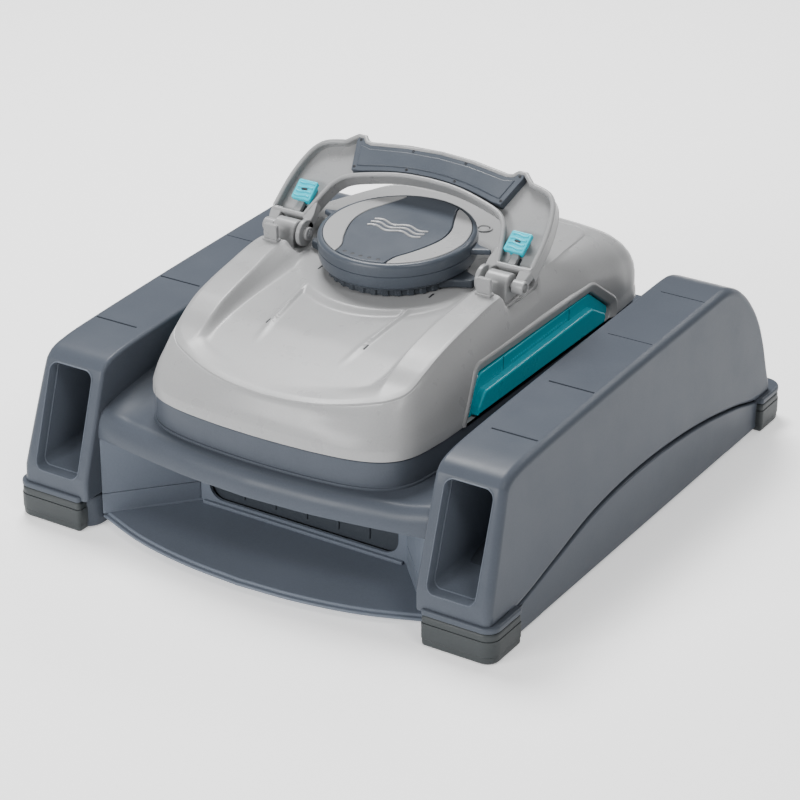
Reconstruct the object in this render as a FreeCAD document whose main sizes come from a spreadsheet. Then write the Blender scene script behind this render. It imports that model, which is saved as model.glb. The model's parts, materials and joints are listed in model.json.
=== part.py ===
import FreeCAD, Part
import math
import os
import Sketcher

# Floating surface skimmer for pools, in millimetres.
# Origin: centre of the footprint on the surface it stands on.
# +X is the machine's right side, -Y its open mouth, +Z up.

Vector = FreeCAD.Vector
doc = FreeCAD.newDocument("pool_skimmer")

# ---------------------------------------------------------------- driving dimensions
DIMENSIONS = {
    # hull and pontoons
    "half_width": 215.0,
    "bumper_front": 232.0,
    "lip_front": 243.0,
    "rear_end": 243.0,
    "hull_half": 148.0,
    "pontoon_outer": 211.0,
    "pontoon_front": 230.4,
    "pontoon_top_outer": 203.5,
    "pontoon_base": 3.0,
    "pontoon_front_top": 139.0,
    "pontoon_rear_top": 147.5,
    "pontoon_rear": 225.0,
    "waist": 55.0,
    "wall": 3.0,
    "bumper_height": 25.7,
    # mouth, deck and cover
    "floor_under": 6.0,
    "floor_top": 9.0,
    "mouth_half": 90.0,
    "mouth_back": 153.0,
    "deck_under": 75.0,
    "deck_top": 95.0,
    "collar_top": 117.2,
    "cover_base": 118.6,
    "cover_front": 214.0,
    "cover_rear": 170.0,
    "cover_half": 122.0,
    "crease_height": 150.0,
    "crown_height": 186.0,
    # thruster duct
    "duct_x": 178.0,
    "duct_z": 78.0,
    "duct_radius": 18.0,
    "duct_wall": 2.0,
    "shaft_radius": 2.0,
    # control module on its tilted seat
    "module_y": -19.6,
    "module_top": 213.6,
    "module_radius": 62.2,
    "module_depth": 21.5,
    "ring_radius": 57.0,
    "ring_depth": 7.5,
    "module_tilt": 4.0,
    "lug_radius": 73.5,
    # handle
    "hinge_y": -27.0,
    "hinge_z": 194.0,
    "handle_tilt": 37.77,
    "handle_top": 4.0,
    "handle_depth": 13.0,
    "pin_radius": 3.0,
    "knuckle_radius": 9.0,
    # basket
    "basket_half": 92.0,
    "basket_front": -147.0,
    "basket_rear": 199.0,
    "basket_top": 68.0,
    # fits
    "running_gap": 0.06,
    "sliding_gap": 0.4,
}

sheet = doc.addObject("Spreadsheet::Sheet", "dims")
for row, (alias, number) in enumerate(DIMENSIONS.items(), start=1):
    sheet.set(f"A{row}", alias)
    sheet.set(f"B{row}", str(number))
    sheet.setAlias(f"B{row}", alias)
doc.recompute()


class Size:
    """A length that keeps its number together with the sheet formula behind it."""

    def __init__(self, formula, number):
        self.formula = formula
        self.number = number

    @staticmethod
    def of(value):
        if isinstance(value, Size):
            return value
        return Size(f"{value:.6g}", float(value))

    def combine(self, sign, other, number):
        return Size(f"({self.formula} {sign} {Size.of(other).formula})", number)

    def __add__(self, other):
        return self.combine("+", other, self.number + Size.of(other).number)

    def __sub__(self, other):
        return self.combine("-", other, self.number - Size.of(other).number)

    def __mul__(self, factor):
        return self.combine("*", factor, self.number * factor)

    def __neg__(self):
        return Size(f"(0 - {self.formula})", -self.number)


def dim(alias):
    return Size(f"dims.{alias}", float(sheet.get(alias)))


def bind(target, path, size):
    target.setExpression(path, Size.of(size).formula)


# ---------------------------------------------------------------- modelling helpers
PLANES = {
    # plane: (origin plane role, turn that lays a loose sketch on it, sign of the start offset)
    "XY": ("XY_Plane", FreeCAD.Rotation(), 1),
    "XZ": ("XZ_Plane", FreeCAD.Rotation(Vector(1, 0, 0), 90), -1),
    "YZ": ("YZ_Plane", FreeCAD.Rotation(Vector(1, 1, 1), 120), 1),
}
AXIS_OF_PLANE = {"XY": "z", "XZ": "y", "YZ": "x"}


def both_sides(points):
    """Close a right-hand outline with its mirror image in X."""
    mirrored = [(-x, y) for x, y in reversed(points) if Size.of(x).number > 0]
    return list(points) + mirrored


def rectangle(x_low, x_high, y_low, y_high):
    return [(x_low, y_low), (x_high, y_low), (x_high, y_high), (x_low, y_high)]


def draw_polygon(sketch, points):
    """Draw a closed polygon whose every corner is placed by a formula."""
    corners = [(Size.of(x), Size.of(y)) for x, y in points]
    count = len(corners)
    first = sketch.GeometryCount
    for index, (x, y) in enumerate(corners):
        next_x, next_y = corners[(index + 1) % count]
        start = Vector(x.number, y.number, 0)
        end = Vector(next_x.number, next_y.number, 0)
        sketch.addGeometry(Part.LineSegment(start, end))
    for index in range(count):
        follower = first + (index + 1) % count
        sketch.addConstraint(Sketcher.Constraint("Coincident", first + index, 2, follower, 1))
    for index, corner in enumerate(corners):
        for kind, size in zip(("DistanceX", "DistanceY"), corner):
            name = f"{kind}{first + index}"
            number = sketch.addConstraint(Sketcher.Constraint(kind, first + index, 1, size.number))
            sketch.renameConstraint(number, name)
            bind(sketch, f"Constraints.{name}", size)


def draw_circle(sketch, x, y, radius):
    x, y, radius = Size.of(x), Size.of(y), Size.of(radius)
    centre = Vector(x.number, y.number, 0)
    index = sketch.addGeometry(Part.Circle(centre, Vector(0, 0, 1), radius.number))
    rules = (
        (f"Radius{index}", Sketcher.Constraint("Radius", index, radius.number), radius),
        (f"CentreX{index}", Sketcher.Constraint("DistanceX", index, 3, x.number), x),
        (f"CentreY{index}", Sketcher.Constraint("DistanceY", index, 3, y.number), y),
    )
    for name, rule, size in rules:
        number = sketch.addConstraint(rule)
        sketch.renameConstraint(number, name)
        bind(sketch, f"Constraints.{name}", size)


def draw(sketch, outline):
    """An outline is a polygon, or ("circle", x, y, radius)."""
    if outline[0] == "circle":
        draw_circle(sketch, *outline[1:])
    else:
        draw_polygon(sketch, outline)


def prism(name, plane, outline, start, end):
    """Solid between two heights over a loose sketch, for use in booleans."""
    _, turn, sign = PLANES[plane]
    low, high = (start, end) if sign > 0 else (end, start)
    sketch = doc.addObject("Sketcher::SketchObject", f"{name}_sketch")
    draw(sketch, outline)
    sketch.Placement = FreeCAD.Placement(Vector(), turn)
    bind(sketch, f"Placement.Base.{AXIS_OF_PLANE[plane]}", low)
    solid = doc.addObject("Part::Extrusion", name)
    solid.Base = sketch
    solid.DirMode = "Normal"
    solid.Solid = True
    bind(solid, "LengthFwd", (Size.of(high) - low) * sign)
    return solid


def block(name, x_low, x_high, y_low, y_high, z_low, z_high):
    solid = doc.addObject("Part::Box", name)
    for axis, side, low, high in (
        ("x", "Length", x_low, x_high),
        ("y", "Width", y_low, y_high),
        ("z", "Height", z_low, z_high),
    ):
        bind(solid, side, Size.of(high) - low)
        bind(solid, f"Placement.Base.{axis}", low)
    return solid


ROD_TURNS = {
    "x": FreeCAD.Rotation(Vector(0, 1, 0), 90),
    "y": FreeCAD.Rotation(Vector(1, 0, 0), -90),
    "z": FreeCAD.Rotation(),
}


def rod(name, axis, start, end, radius, across):
    """Cylinder along an axis; across holds its two other coordinates in X, Y, Z order."""
    solid = doc.addObject("Part::Cylinder", name)
    solid.Placement = FreeCAD.Placement(Vector(), ROD_TURNS[axis])
    bind(solid, "Radius", radius)
    bind(solid, "Height", Size.of(end) - start)
    others = [letter for letter in "xyz" if letter != axis]
    bind(solid, f"Placement.Base.{axis}", start)
    for letter, place in zip(others, across):
        bind(solid, f"Placement.Base.{letter}", place)
    return solid


def cut(name, base, *tools):
    result = base
    for index, tool in enumerate(tools, start=1):
        difference = doc.addObject("Part::Cut", name if index == len(tools) else f"{name}_cut{index}")
        difference.Base = result
        difference.Tool = tool
        result = difference
    return result


def fuse(name, *shapes):
    union = doc.addObject("Part::MultiFuse", name)
    union.Shapes = list(shapes)
    return union


def common(name, first, second):
    overlap = doc.addObject("Part::Common", name)
    overlap.Base = first
    overlap.Tool = second
    return overlap


def mirror(name, source):
    twin = doc.addObject("Part::Mirroring", name)
    twin.Source = source
    twin.Base = Vector()
    twin.Normal = Vector(1, 0, 0)
    return twin


def group(name, shapes):
    """Identical loose pieces kept as separate solids in one node."""
    bundle = doc.addObject("Part::Compound", name)
    bundle.Links = list(shapes)
    return bundle


def round_edges(name, base, radius, wanted):
    """Fillet every edge that the test function picks."""
    doc.recompute()
    rounded = doc.addObject("Part::Fillet", name)
    rounded.Base = base
    edges = []
    for index, edge in enumerate(base.Shape.Edges, start=1):
        if wanted(edge):
            edges.append((index, radius, radius))
    rounded.Edges = edges
    return rounded


class MouldedPiece:
    """A PartDesign body built up from pads and pockets of bound sketches."""

    def __init__(self, label, placement=None):
        self.body = doc.addObject("PartDesign::Body", label)
        self.label = label
        self.steps = 0
        if placement is not None:
            self.body.Placement = placement

    def sketch(self, plane, outlines, offset):
        role = PLANES[plane][0]
        support = [item for item in self.body.Origin.OriginFeatures if item.Role == role][0]
        self.steps += 1
        drawing = self.body.newObject("Sketcher::SketchObject", f"{self.label}_sketch{self.steps}")
        drawing.AttachmentSupport = (support, [""])
        drawing.MapMode = "FlatFace"
        bind(drawing, "AttachmentOffset.Base.z", offset)
        for outline in outlines:
            draw(drawing, outline)
        return drawing

    def feature(self, kind, plane, outlines, start, end):
        sign = PLANES[plane][2]
        low, high = (start, end) if sign > 0 else (end, start)
        drawing = self.sketch(plane, outlines, Size.of(low) * sign)
        step = self.body.newObject(f"PartDesign::{kind}", f"{self.label}_{kind.lower()}{self.steps}")
        step.Profile = drawing
        step.Type = "Length" if kind == "Pad" else 0
        bind(step, "Length", (Size.of(high) - low) * sign)
        if kind == "Pocket":
            step.Reversed = True
        return step

    def pad(self, plane, start, end, *outlines):
        self.feature("Pad", plane, outlines, start, end)
        return self

    def pocket(self, plane, start, end, *outlines):
        doc.recompute()
        before = self.body.Shape.Volume
        self.feature("Pocket", plane, outlines, start, end)
        doc.recompute()
        if not self.body.Shape.Volume < before - 0.5:
            raise RuntimeError(f"a pocket of {self.label} cuts nothing")
        return self

    def ring_of(self, last_steps, count):
        """Repeat the newest features round the body's Z axis."""
        steps = [item for item in self.body.Group if item.isDerivedFrom("PartDesign::Feature")]
        pattern = self.body.newObject("PartDesign::PolarPattern", f"{self.label}_ring")
        pattern.Originals = steps[-last_steps:]
        z_axis = [item for item in self.body.Origin.OriginFeatures if item.Role == "Z_Axis"][0]
        pattern.Axis = (z_axis, [""])
        pattern.Angle = 360
        pattern.Occurrences = count
        self.body.Tip = pattern
        return self

    def revolve(self, outline):
        """Turn a profile (radius, height) round the body's Z axis."""
        drawing = self.sketch("XZ", [outline], 0)
        step = self.body.newObject("PartDesign::Revolution", f"{self.label}_turned")
        step.Profile = drawing
        step.ReferenceAxis = (drawing, ["V_Axis"])
        step.Angle = 360
        return self


def turned_about_x(y, z, degrees):
    """Placement of a local frame whose XY plane leans back by the angle."""
    return FreeCAD.Placement(Vector(0, y, z), FreeCAD.Rotation(Vector(1, 0, 0), degrees))


# ---------------------------------------------------------------- shared sizes
wall = dim("wall")
hull_half = dim("hull_half")
gap = dim("sliding_gap")
fit_gap = dim("running_gap")


def pontoon_block(name, inset):
    """Side profile of a pontoon, pulled in by the inset all round, with its leaning outer wall."""
    inner = hull_half + inset
    outer = dim("pontoon_outer") - inset
    profile = [
        (-dim("pontoon_front") + inset, dim("pontoon_base") + inset),
        (-dim("pontoon_front") + inset, dim("waist") * 0.8),
        (-(dim("bumper_front") - 32.4) + inset, dim("pontoon_front_top") - inset),
        (dim("pontoon_rear") - 41 - inset, dim("pontoon_rear_top") - inset),
        (dim("pontoon_rear") - 1 - inset, dim("waist") * 0.75),
        (dim("pontoon_rear") - inset, dim("pontoon_base") + inset),
    ]
    body = prism(f"{name}_block", "YZ", profile, inner, outer)
    body = round_edges(f"{name}_front", body, 48 - inset.number, lambda edge: is_corner(edge, -199, 139))
    body = round_edges(f"{name}_rear", body, 78 - inset.number, lambda edge: is_corner(edge, 183, 147))
    lean = [
        (outer, dim("waist")),
        (outer + 5, dim("waist")),
        (outer + 5, dim("pontoon_rear_top") + 9),
        (dim("pontoon_top_outer") - inset - 0.5, dim("pontoon_rear_top") + 9),
    ]
    wedge = prism(f"{name}_lean", "XZ", lean, -dim("lip_front"), dim("rear_end"))
    return cut(name, body, wedge)


def is_corner(edge, y, z):
    """True for the long edge across the pontoon that passes near a side-view corner."""
    box = edge.BoundBox
    middle = box.Center
    return box.XLength > 30 and abs(middle.y - y) < 7 and abs(middle.z - z) < 7


def make_pontoon():
    """Right-hand pontoon: upper and lower shell, foam, duct, motor, outlet; each is mirrored."""
    outer = pontoon_block("pontoon_outside", Size.of(0))
    inner = pontoon_block("pontoon_inside", wall)
    duct_x, duct_z = dim("duct_x"), dim("duct_z")
    bore = dim("duct_radius")
    sleeve = bore + dim("duct_wall")
    window = prism("window", "XZ", rectangle(159.6, 196.4, 46.6, 121.4), -240, -190)
    outlet = rod("outlet_hole", "y", 150, 240, sleeve + 0.3, (duct_x, duct_z))
    shell = cut("pontoon_shell", outer, inner, window, outlet)
    arch = [
        (-236, -5), (240, -5), (240, 26.5), (201, 26.5), (159, 37), (104, 47.5),
        (40, 55), (-22, 56), (-80, 51), (-132, 39), (-189, 27), (-236, 26.5),
    ]
    below = prism("pontoon_arch", "YZ", arch, 140, 220)
    slots = [
        block(f"top_slot{index}", 159.7, 198.2, y - 1, y + 1, z - 2.5, z + 6)
        for index, (y, z) in enumerate(((-146, 140.1), (-62.7, 142.4)), start=1)
    ]
    grooves = [
        block(f"top_groove{index}", 159.7, 198.2, y - 0.8, y + 0.8, z - 1.0, z + 6)
        for index, (y, z) in enumerate(((29.1, 144.7), (115.9, 146.5)), start=1)
    ]
    upper = cut("pontoon_upper_right", shell, below, *slots, *grooves)
    lower = common("pontoon_lower_right", shell, below)

    # duct: a flat funnel behind the window that narrows to a round thrust tube
    funnel = []
    for skin, grow in (("outside", dim("duct_wall")), ("inside", Size.of(0))):
        mouth = prism_section(f"funnel_mouth_{skin}", rectangle(
            Size.of(160) - grow, Size.of(196) + grow, Size.of(47) - grow, Size.of(121) + grow), -223.5)
        throat = prism_section(f"funnel_throat_{skin}", rectangle(
            duct_x - bore - grow, duct_x + bore + grow, duct_z - bore - grow, duct_z + bore + grow), -80)
        loft = doc.addObject("Part::Loft", f"funnel_{skin}")
        loft.Sections = [mouth, throat]
        loft.Solid = True
        loft.Ruled = True
        funnel.append(loft)
    front_trim = prism("funnel_trim", "YZ", [
        (-260, 20), (-dim("bumper_front") + 5.1, dim("waist") * 0.8),
        (-dim("bumper_front") + 37.2, dim("pontoon_front_top")), (-260, 150)], 150, 210)
    tube_start = Size.of(-80)
    plate = block("throat_plate", duct_x - sleeve, duct_x + sleeve, tube_start, tube_start + 2,
                  duct_z - sleeve, duct_z + sleeve)
    tube = rod("thrust_tube", "y", tube_start + 1, 196, sleeve, (duct_x, duct_z))
    tube_bore = rod("thrust_bore", "y", tube_start - 1, 197, bore, (duct_x, duct_z))
    tube_wall = cut("thrust_wall", fuse("thrust_body", plate, tube), tube_bore)
    funnel_wall = cut("funnel_wall", funnel[0], funnel[1], front_trim)
    duct = cut("intake_duct_right", fuse("duct_body", funnel_wall, tube_wall), upper, lower)

    # outlet collar with a slatted guard, flush with the sloping rear wall
    collar = cut("outlet_collar",
                 rod("outlet_ring", "y", 196.2, 230, sleeve, (duct_x, duct_z)),
                 rod("outlet_bore", "y", 190, 235, bore, (duct_x, duct_z)))
    slats = [
        block(f"outlet_slat{index}", duct_x + offset - 0.8, duct_x + offset + 0.8, 197, 203,
              duct_z - (bore + 0.8), duct_z + (bore + 0.8))
        for index, offset in enumerate((-9, 0, 9), start=1)
    ]
    slat_trim = rod("outlet_slat_trim", "y", 190, 235, bore + 1, (duct_x, duct_z))
    slat_set = common("outlet_slat_set", fuse("outlet_slats", *slats), slat_trim)
    guard = common("outlet_grille_right", fuse("outlet_parts", collar, slat_set), outer)

    # motor pod on three struts inside the tube
    pod = rod("motor_pod", "y", 70, 118, 11, (duct_x, duct_z))
    nose = doc.addObject("Part::Cone", "motor_nose")
    nose.Placement = FreeCAD.Placement(Vector(), ROD_TURNS["y"])
    nose.Radius1 = 3
    nose.Radius2 = 11
    nose.Height = 16
    bind(nose, "Placement.Base.x", duct_x)
    bind(nose, "Placement.Base.y", 54)
    bind(nose, "Placement.Base.z", duct_z)
    strut_up = block("strut_up", duct_x - 1.2, duct_x + 1.2, 78, 108, duct_z, duct_z + 17.9)
    strut_side = block("strut_side", duct_x - 17.9, duct_x + 17.9, 78, 108, duct_z - 1.2, duct_z + 1.2)
    shaft_hole = rod("motor_shaft_hole", "y", 84, 120, dim("shaft_radius") + fit_gap, (duct_x, duct_z))
    motor = cut("thruster_motor_right", fuse("motor_body", pod, nose, strut_up, strut_side), shaft_hole)

    # closed-cell foam between duct and outer skin, forward of the motor
    foam = block("float_foam_right", 155, 196, -130, 120, 108, 132)
    for name, piece in (
        ("pontoon_upper", upper), ("pontoon_lower", lower), ("intake_duct", duct),
        ("outlet_grille", guard), ("thruster_motor", motor), ("float_foam", foam),
    ):
        mirror(f"{name}_left", piece)


def prism_section(name, outline, y):
    """Flat outline across the machine, used as one end of a loft."""
    sketch = doc.addObject("Sketcher::SketchObject", name)
    draw(sketch, outline)
    sketch.Placement = FreeCAD.Placement(Vector(), PLANES["XZ"][1])
    bind(sketch, "Placement.Base.y", y)
    return sketch


def make_propellers():
    """Three twisted blades on a hub with its shaft, one set per duct."""
    hub_front = 120.0
    for side, sign in (("right", 1), ("left", -1)):
        centre = Vector(sign * dim("duct_x").number, hub_front, dim("duct_z").number)
        stand = FreeCAD.Placement(centre, ROD_TURNS["y"])
        screw = MouldedPiece(f"propeller_{side}", stand)
        screw.pad("XY", 0, 14, ("circle", 0, 0, 6))
        drawing = screw.sketch("YZ", [rectangle(5, dim("duct_radius") - 1.2, 3, 11)], -0.9)
        blade = screw.body.newObject("PartDesign::Pad", f"propeller_{side}_blade")
        blade.Profile = drawing
        blade.Length = 1.8
        screw.ring_of(1, 3)
        screw.pocket("XY", -1, 15, ("circle", 0, 0, dim("shaft_radius")))
        shaft = MouldedPiece(f"prop_shaft_{side}", stand)
        shaft.pad("XY", -30, 14, ("circle", 0, 0, dim("shaft_radius")))


def make_bumpers():
    """Soft corner pads that the machine stands on and bumps the wall with."""
    low, high = Size.of(0), dim("bumper_height")
    front = dim("bumper_front")
    base = dim("pontoon_base")
    side = dim("half_width")
    skin = dim("pontoon_outer")
    for label, points, foot in (
        ("bumper_front_right", [
            (156, -front), (side, -front), (side, -(front - 41)), (skin, -(front - 41)),
            (skin, -dim("pontoon_front")), (156, -dim("pontoon_front"))],
            (156, skin, -front, -(front - 36))),
        ("bumper_rear_right", [
            (156, dim("pontoon_rear")), (skin, dim("pontoon_rear")), (skin, 200.6), (side, 200.6),
            (side, dim("rear_end")), (156, dim("rear_end"))], (156, skin, 200.6, dim("rear_end"))),
    ):
        pad = MouldedPiece(label)
        pad.pad("XY", low, high, points)
        pad.pad("XY", low, base, rectangle(*foot))
        mirror(label.replace("right", "left"), pad.body)


def lip_curve(front_offset):
    """Front edge of the tray in plan, right half: a shallow bow between the pontoons."""
    return [
        (0, -dim("lip_front") + front_offset), (50, -dim("lip_front") + 3.2 + front_offset),
        (100, -dim("lip_front") + 13 + front_offset), (hull_half, -dim("lip_front") + 31 + front_offset),
    ]


def make_tray():
    """Scoop floor, funnel walls of the mouth, side rails of the basket bay and rear wall."""
    under, top = dim("floor_under"), dim("floor_top")
    back = 200
    floor = prism("tray_floor", "XY", both_sides(lip_curve(0) + [(hull_half, back), (0, back)]), under, top)
    cheek_outline = [
        (hull_half, -(dim("lip_front") - 32)), (dim("mouth_half") + 4, -dim("mouth_back")),
        (dim("mouth_half") + 8, -dim("mouth_back")), (hull_half, -(dim("lip_front") - 37)),
    ]
    pieces = [floor]
    for side, sign in (("right", 1), ("left", -1)):
        outline = [(x * sign, y) for x, y in cheek_outline]
        pieces.append(prism(f"tray_cheek_{side}", "XY", outline, top - 1, dim("deck_under")))
        rail_near = (dim("mouth_half") + 4) * sign
        rail_far = (dim("mouth_half") + 7) * sign
        low, high = (rail_near, rail_far) if sign > 0 else (rail_far, rail_near)
        pieces.append(block(f"tray_rail_{side}", low, high, -dim("mouth_back"), back, top - 1,
                            dim("deck_under")))
        inner, outer = rail_near, hull_half * sign
        low, high = (inner, outer) if sign > 0 else (outer, inner)
        pieces.append(block(f"tray_rear_{side}", low, high, back - 3, back, top - 1, dim("deck_under")))
    body = fuse("tray_body", *pieces)
    # bores for the flap's pin in the two rails
    pin_hole = rod("tray_pin_hole", "x", -98, 98, 1.5, (-dim("mouth_back") + 3.5, 69))
    cut("hull_tray", body, pin_hole)


def cover_outline(inset, front_pull=0, rear_pull=0, bow=1.0):
    """Plan of the lift-off cover: a rounded rectangle with a slightly bowed front."""
    front = -dim("cover_front") + inset + front_pull
    rear = dim("cover_rear") - inset - rear_pull
    half = dim("cover_half") - inset
    return both_sides([
        (0, front), (half - 60, front + 4 * bow), (half - 28, front + 11 * bow),
        (half - 9, front + 27 * bow), (half - 1, front + 54 * bow), (half, rear - 30),
        (half - 10, rear - 10), (half - 32, rear - 2), (0, rear),
    ])


def make_deck():
    """Deck between the pontoons with the raised collar that the cover sits on."""
    under, top = dim("deck_under"), dim("deck_top")
    outline = both_sides(lip_curve(12) + [(hull_half, 205), (0, 205)])
    hollow = both_sides([
        (0, -dim("lip_front") + 12 + wall), (100, -dim("lip_front") + 25 + wall),
        (hull_half - wall, -dim("lip_front") + 44 + wall), (hull_half - wall, Size.of(205) - wall),
        (0, Size.of(205) - wall),
    ])
    body = prism("deck_body", "XY", outline, under, top)
    body = round_edges("deck_rounded", body, 12, lambda edge: (
        edge.BoundBox.ZLength < 0.01 and abs(edge.BoundBox.Center.z - 95) < 0.1
        and edge.BoundBox.Center.y < -200 and edge.BoundBox.YLength < edge.BoundBox.XLength))
    collar = prism("deck_collar", "XY", cover_outline(Size.of(1.5)), top - 1, dim("collar_top"))
    cavity = prism("deck_cavity", "XY", hollow, under + wall, top - wall)
    bay = prism("deck_bay", "XY", cover_outline(Size.of(1.5) + wall), under + wall, dim("collar_top") + 1)
    cut("hull_deck", fuse("deck_with_collar", body, collar), cavity, bay)
    seal_outer = prism("seal_outer", "XY", cover_outline(Size.of(1.9)), dim("collar_top"),
                       dim("cover_base") - 0.2)
    seal_inner = prism("seal_inner", "XY", cover_outline(Size.of(1.1) + wall), 110, 125)
    cut("cover_seal", seal_outer, seal_inner)


def make_flap_and_basket():
    """One-way inlet flap on its pin, and the debris drawer that pulls out at the back."""
    pin_y = -dim("mouth_back") + 3.5
    pin_z = 69
    flap_half = dim("mouth_half") - 2
    flap = MouldedPiece("inlet_flap")
    flap.pad("YZ", -flap_half, flap_half, rectangle(pin_y - 1.2, pin_y + 1.2, 14.5, pin_z))
    flap.pad("YZ", -flap_half, flap_half, ("circle", pin_y, pin_z, 3.2))
    flap.pocket("YZ", -flap_half - 1, flap_half + 1, ("circle", pin_y, pin_z, Size.of(1.5) + fit_gap))
    rod("flap_hinge_pin", "x", -97, 97, 1.5, (pin_y, pin_z))

    half = dim("basket_half")
    front, rear = dim("basket_front"), dim("basket_rear")
    floor = dim("floor_top") + gap
    top = dim("basket_top")
    basket = MouldedPiece("debris_basket")
    basket.pad("XY", floor, floor + 2, rectangle(-half, half, front, rear))
    basket.pad("XY", floor, top, rectangle(-half, -half + 2, front + 8, rear),
               rectangle(half - 2, half, front + 8, rear))
    basket.pad("XY", floor, top, rectangle(-half, half, rear - 1, rear + 3))
    basket.pocket("XZ", rear - 5, rear + 5, rectangle(-half + 12, half - 12, 22, top - 10))
    mesh = MouldedPiece("basket_mesh")
    mesh.pad("XZ", rear - 3.4, rear - 1.4, rectangle(-half + 2.4, half - 2.4, floor + 2.4, top - 2))
    slits = [rectangle(x, x + 3, 20, 56) for x in range(-75, 76, 6)]
    mesh.pocket("XZ", rear - 6, rear + 1, *slits)
    pull = MouldedPiece("basket_handle")
    pull.pad("YZ", -34, 34, [(rear + 3, 60), (rear + 16, 58), (rear + 18, 55), (rear + 18, 50),
                             (rear + 15, 50), (rear + 14, 54), (rear + 3, 56)])


def make_brackets():
    """Fixed hinge knuckles of the handle, each with a foot and a stop tab, and the hinge pins."""
    pin = dim("pin_radius")
    axis_y, axis_z = dim("hinge_y"), dim("hinge_z")
    knuckle = dim("knuckle_radius")
    foot_low = 174
    pins = []
    for sign, side in ((1, "right"), (-1, "left")):
        block_x = (86.5, 106.5) if sign > 0 else (-106.5, -86.5)
        tab_x = (90.0, 103.0) if sign > 0 else (-103.0, -90.0)
        pin_x = (77.5, 114.0) if sign > 0 else (-114.0, -77.5)
        barrel = rod(f"barrel_{side}", "x", *block_x, knuckle, (axis_y, axis_z))
        foot = block(f"foot_{side}", *block_x, axis_y - knuckle, axis_y + knuckle, foot_low, axis_z)
        tab = block(f"tab_{side}", *tab_x, -53, -49, foot_low, 207)
        tab_foot = block(f"tab_foot_{side}", *tab_x, -53, axis_y, foot_low, 184)
        hole = rod(f"bracket_hole_{side}", "x", *block_x, pin, (axis_y, axis_z))
        cut(f"hinge_bracket_{side}", fuse(f"bracket_{side}", barrel, foot, tab, tab_foot), hole)
        pins.append(rod(f"pin_{side}", "x", *pin_x, pin, (axis_y, axis_z)))
    group("hinge_pins", pins)


def module_frame():
    return turned_about_x(dim("module_y").number, dim("module_top").number, dim("module_tilt").number)


def tilted_disc(name, frame, radius, low, high):
    """Cylinder on the module's tilted axis between two heights of its own frame."""
    disc = doc.addObject("Part::Cylinder", name)
    bind(disc, "Radius", radius)
    bind(disc, "Height", Size.of(high) - low)
    lift = FreeCAD.Placement(Vector(0, 0, Size.of(low).number), FreeCAD.Rotation())
    disc.Placement = frame.multiply(lift)
    return disc


def shoulder_profile():
    """Side view of the raised strip on each edge of the cover, with the pocket of the hinge in it."""
    crest = [(-187, 151), (-172, 160), (-132, 178), (-92, 188), (-51, 193.5), (-42, 193.5), (-40, 184),
             (5, 184), (8, 193), (55, 187), (130, 177), (150, 165)]
    depth = 14
    under = [(150, 160), (130, 177 - depth), (55, 187 - depth), (-51, 193.5 - depth), (-92, 188 - depth),
             (-132, 178 - depth), (-172, 150), (-187, 147)]
    return crest + under


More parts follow.
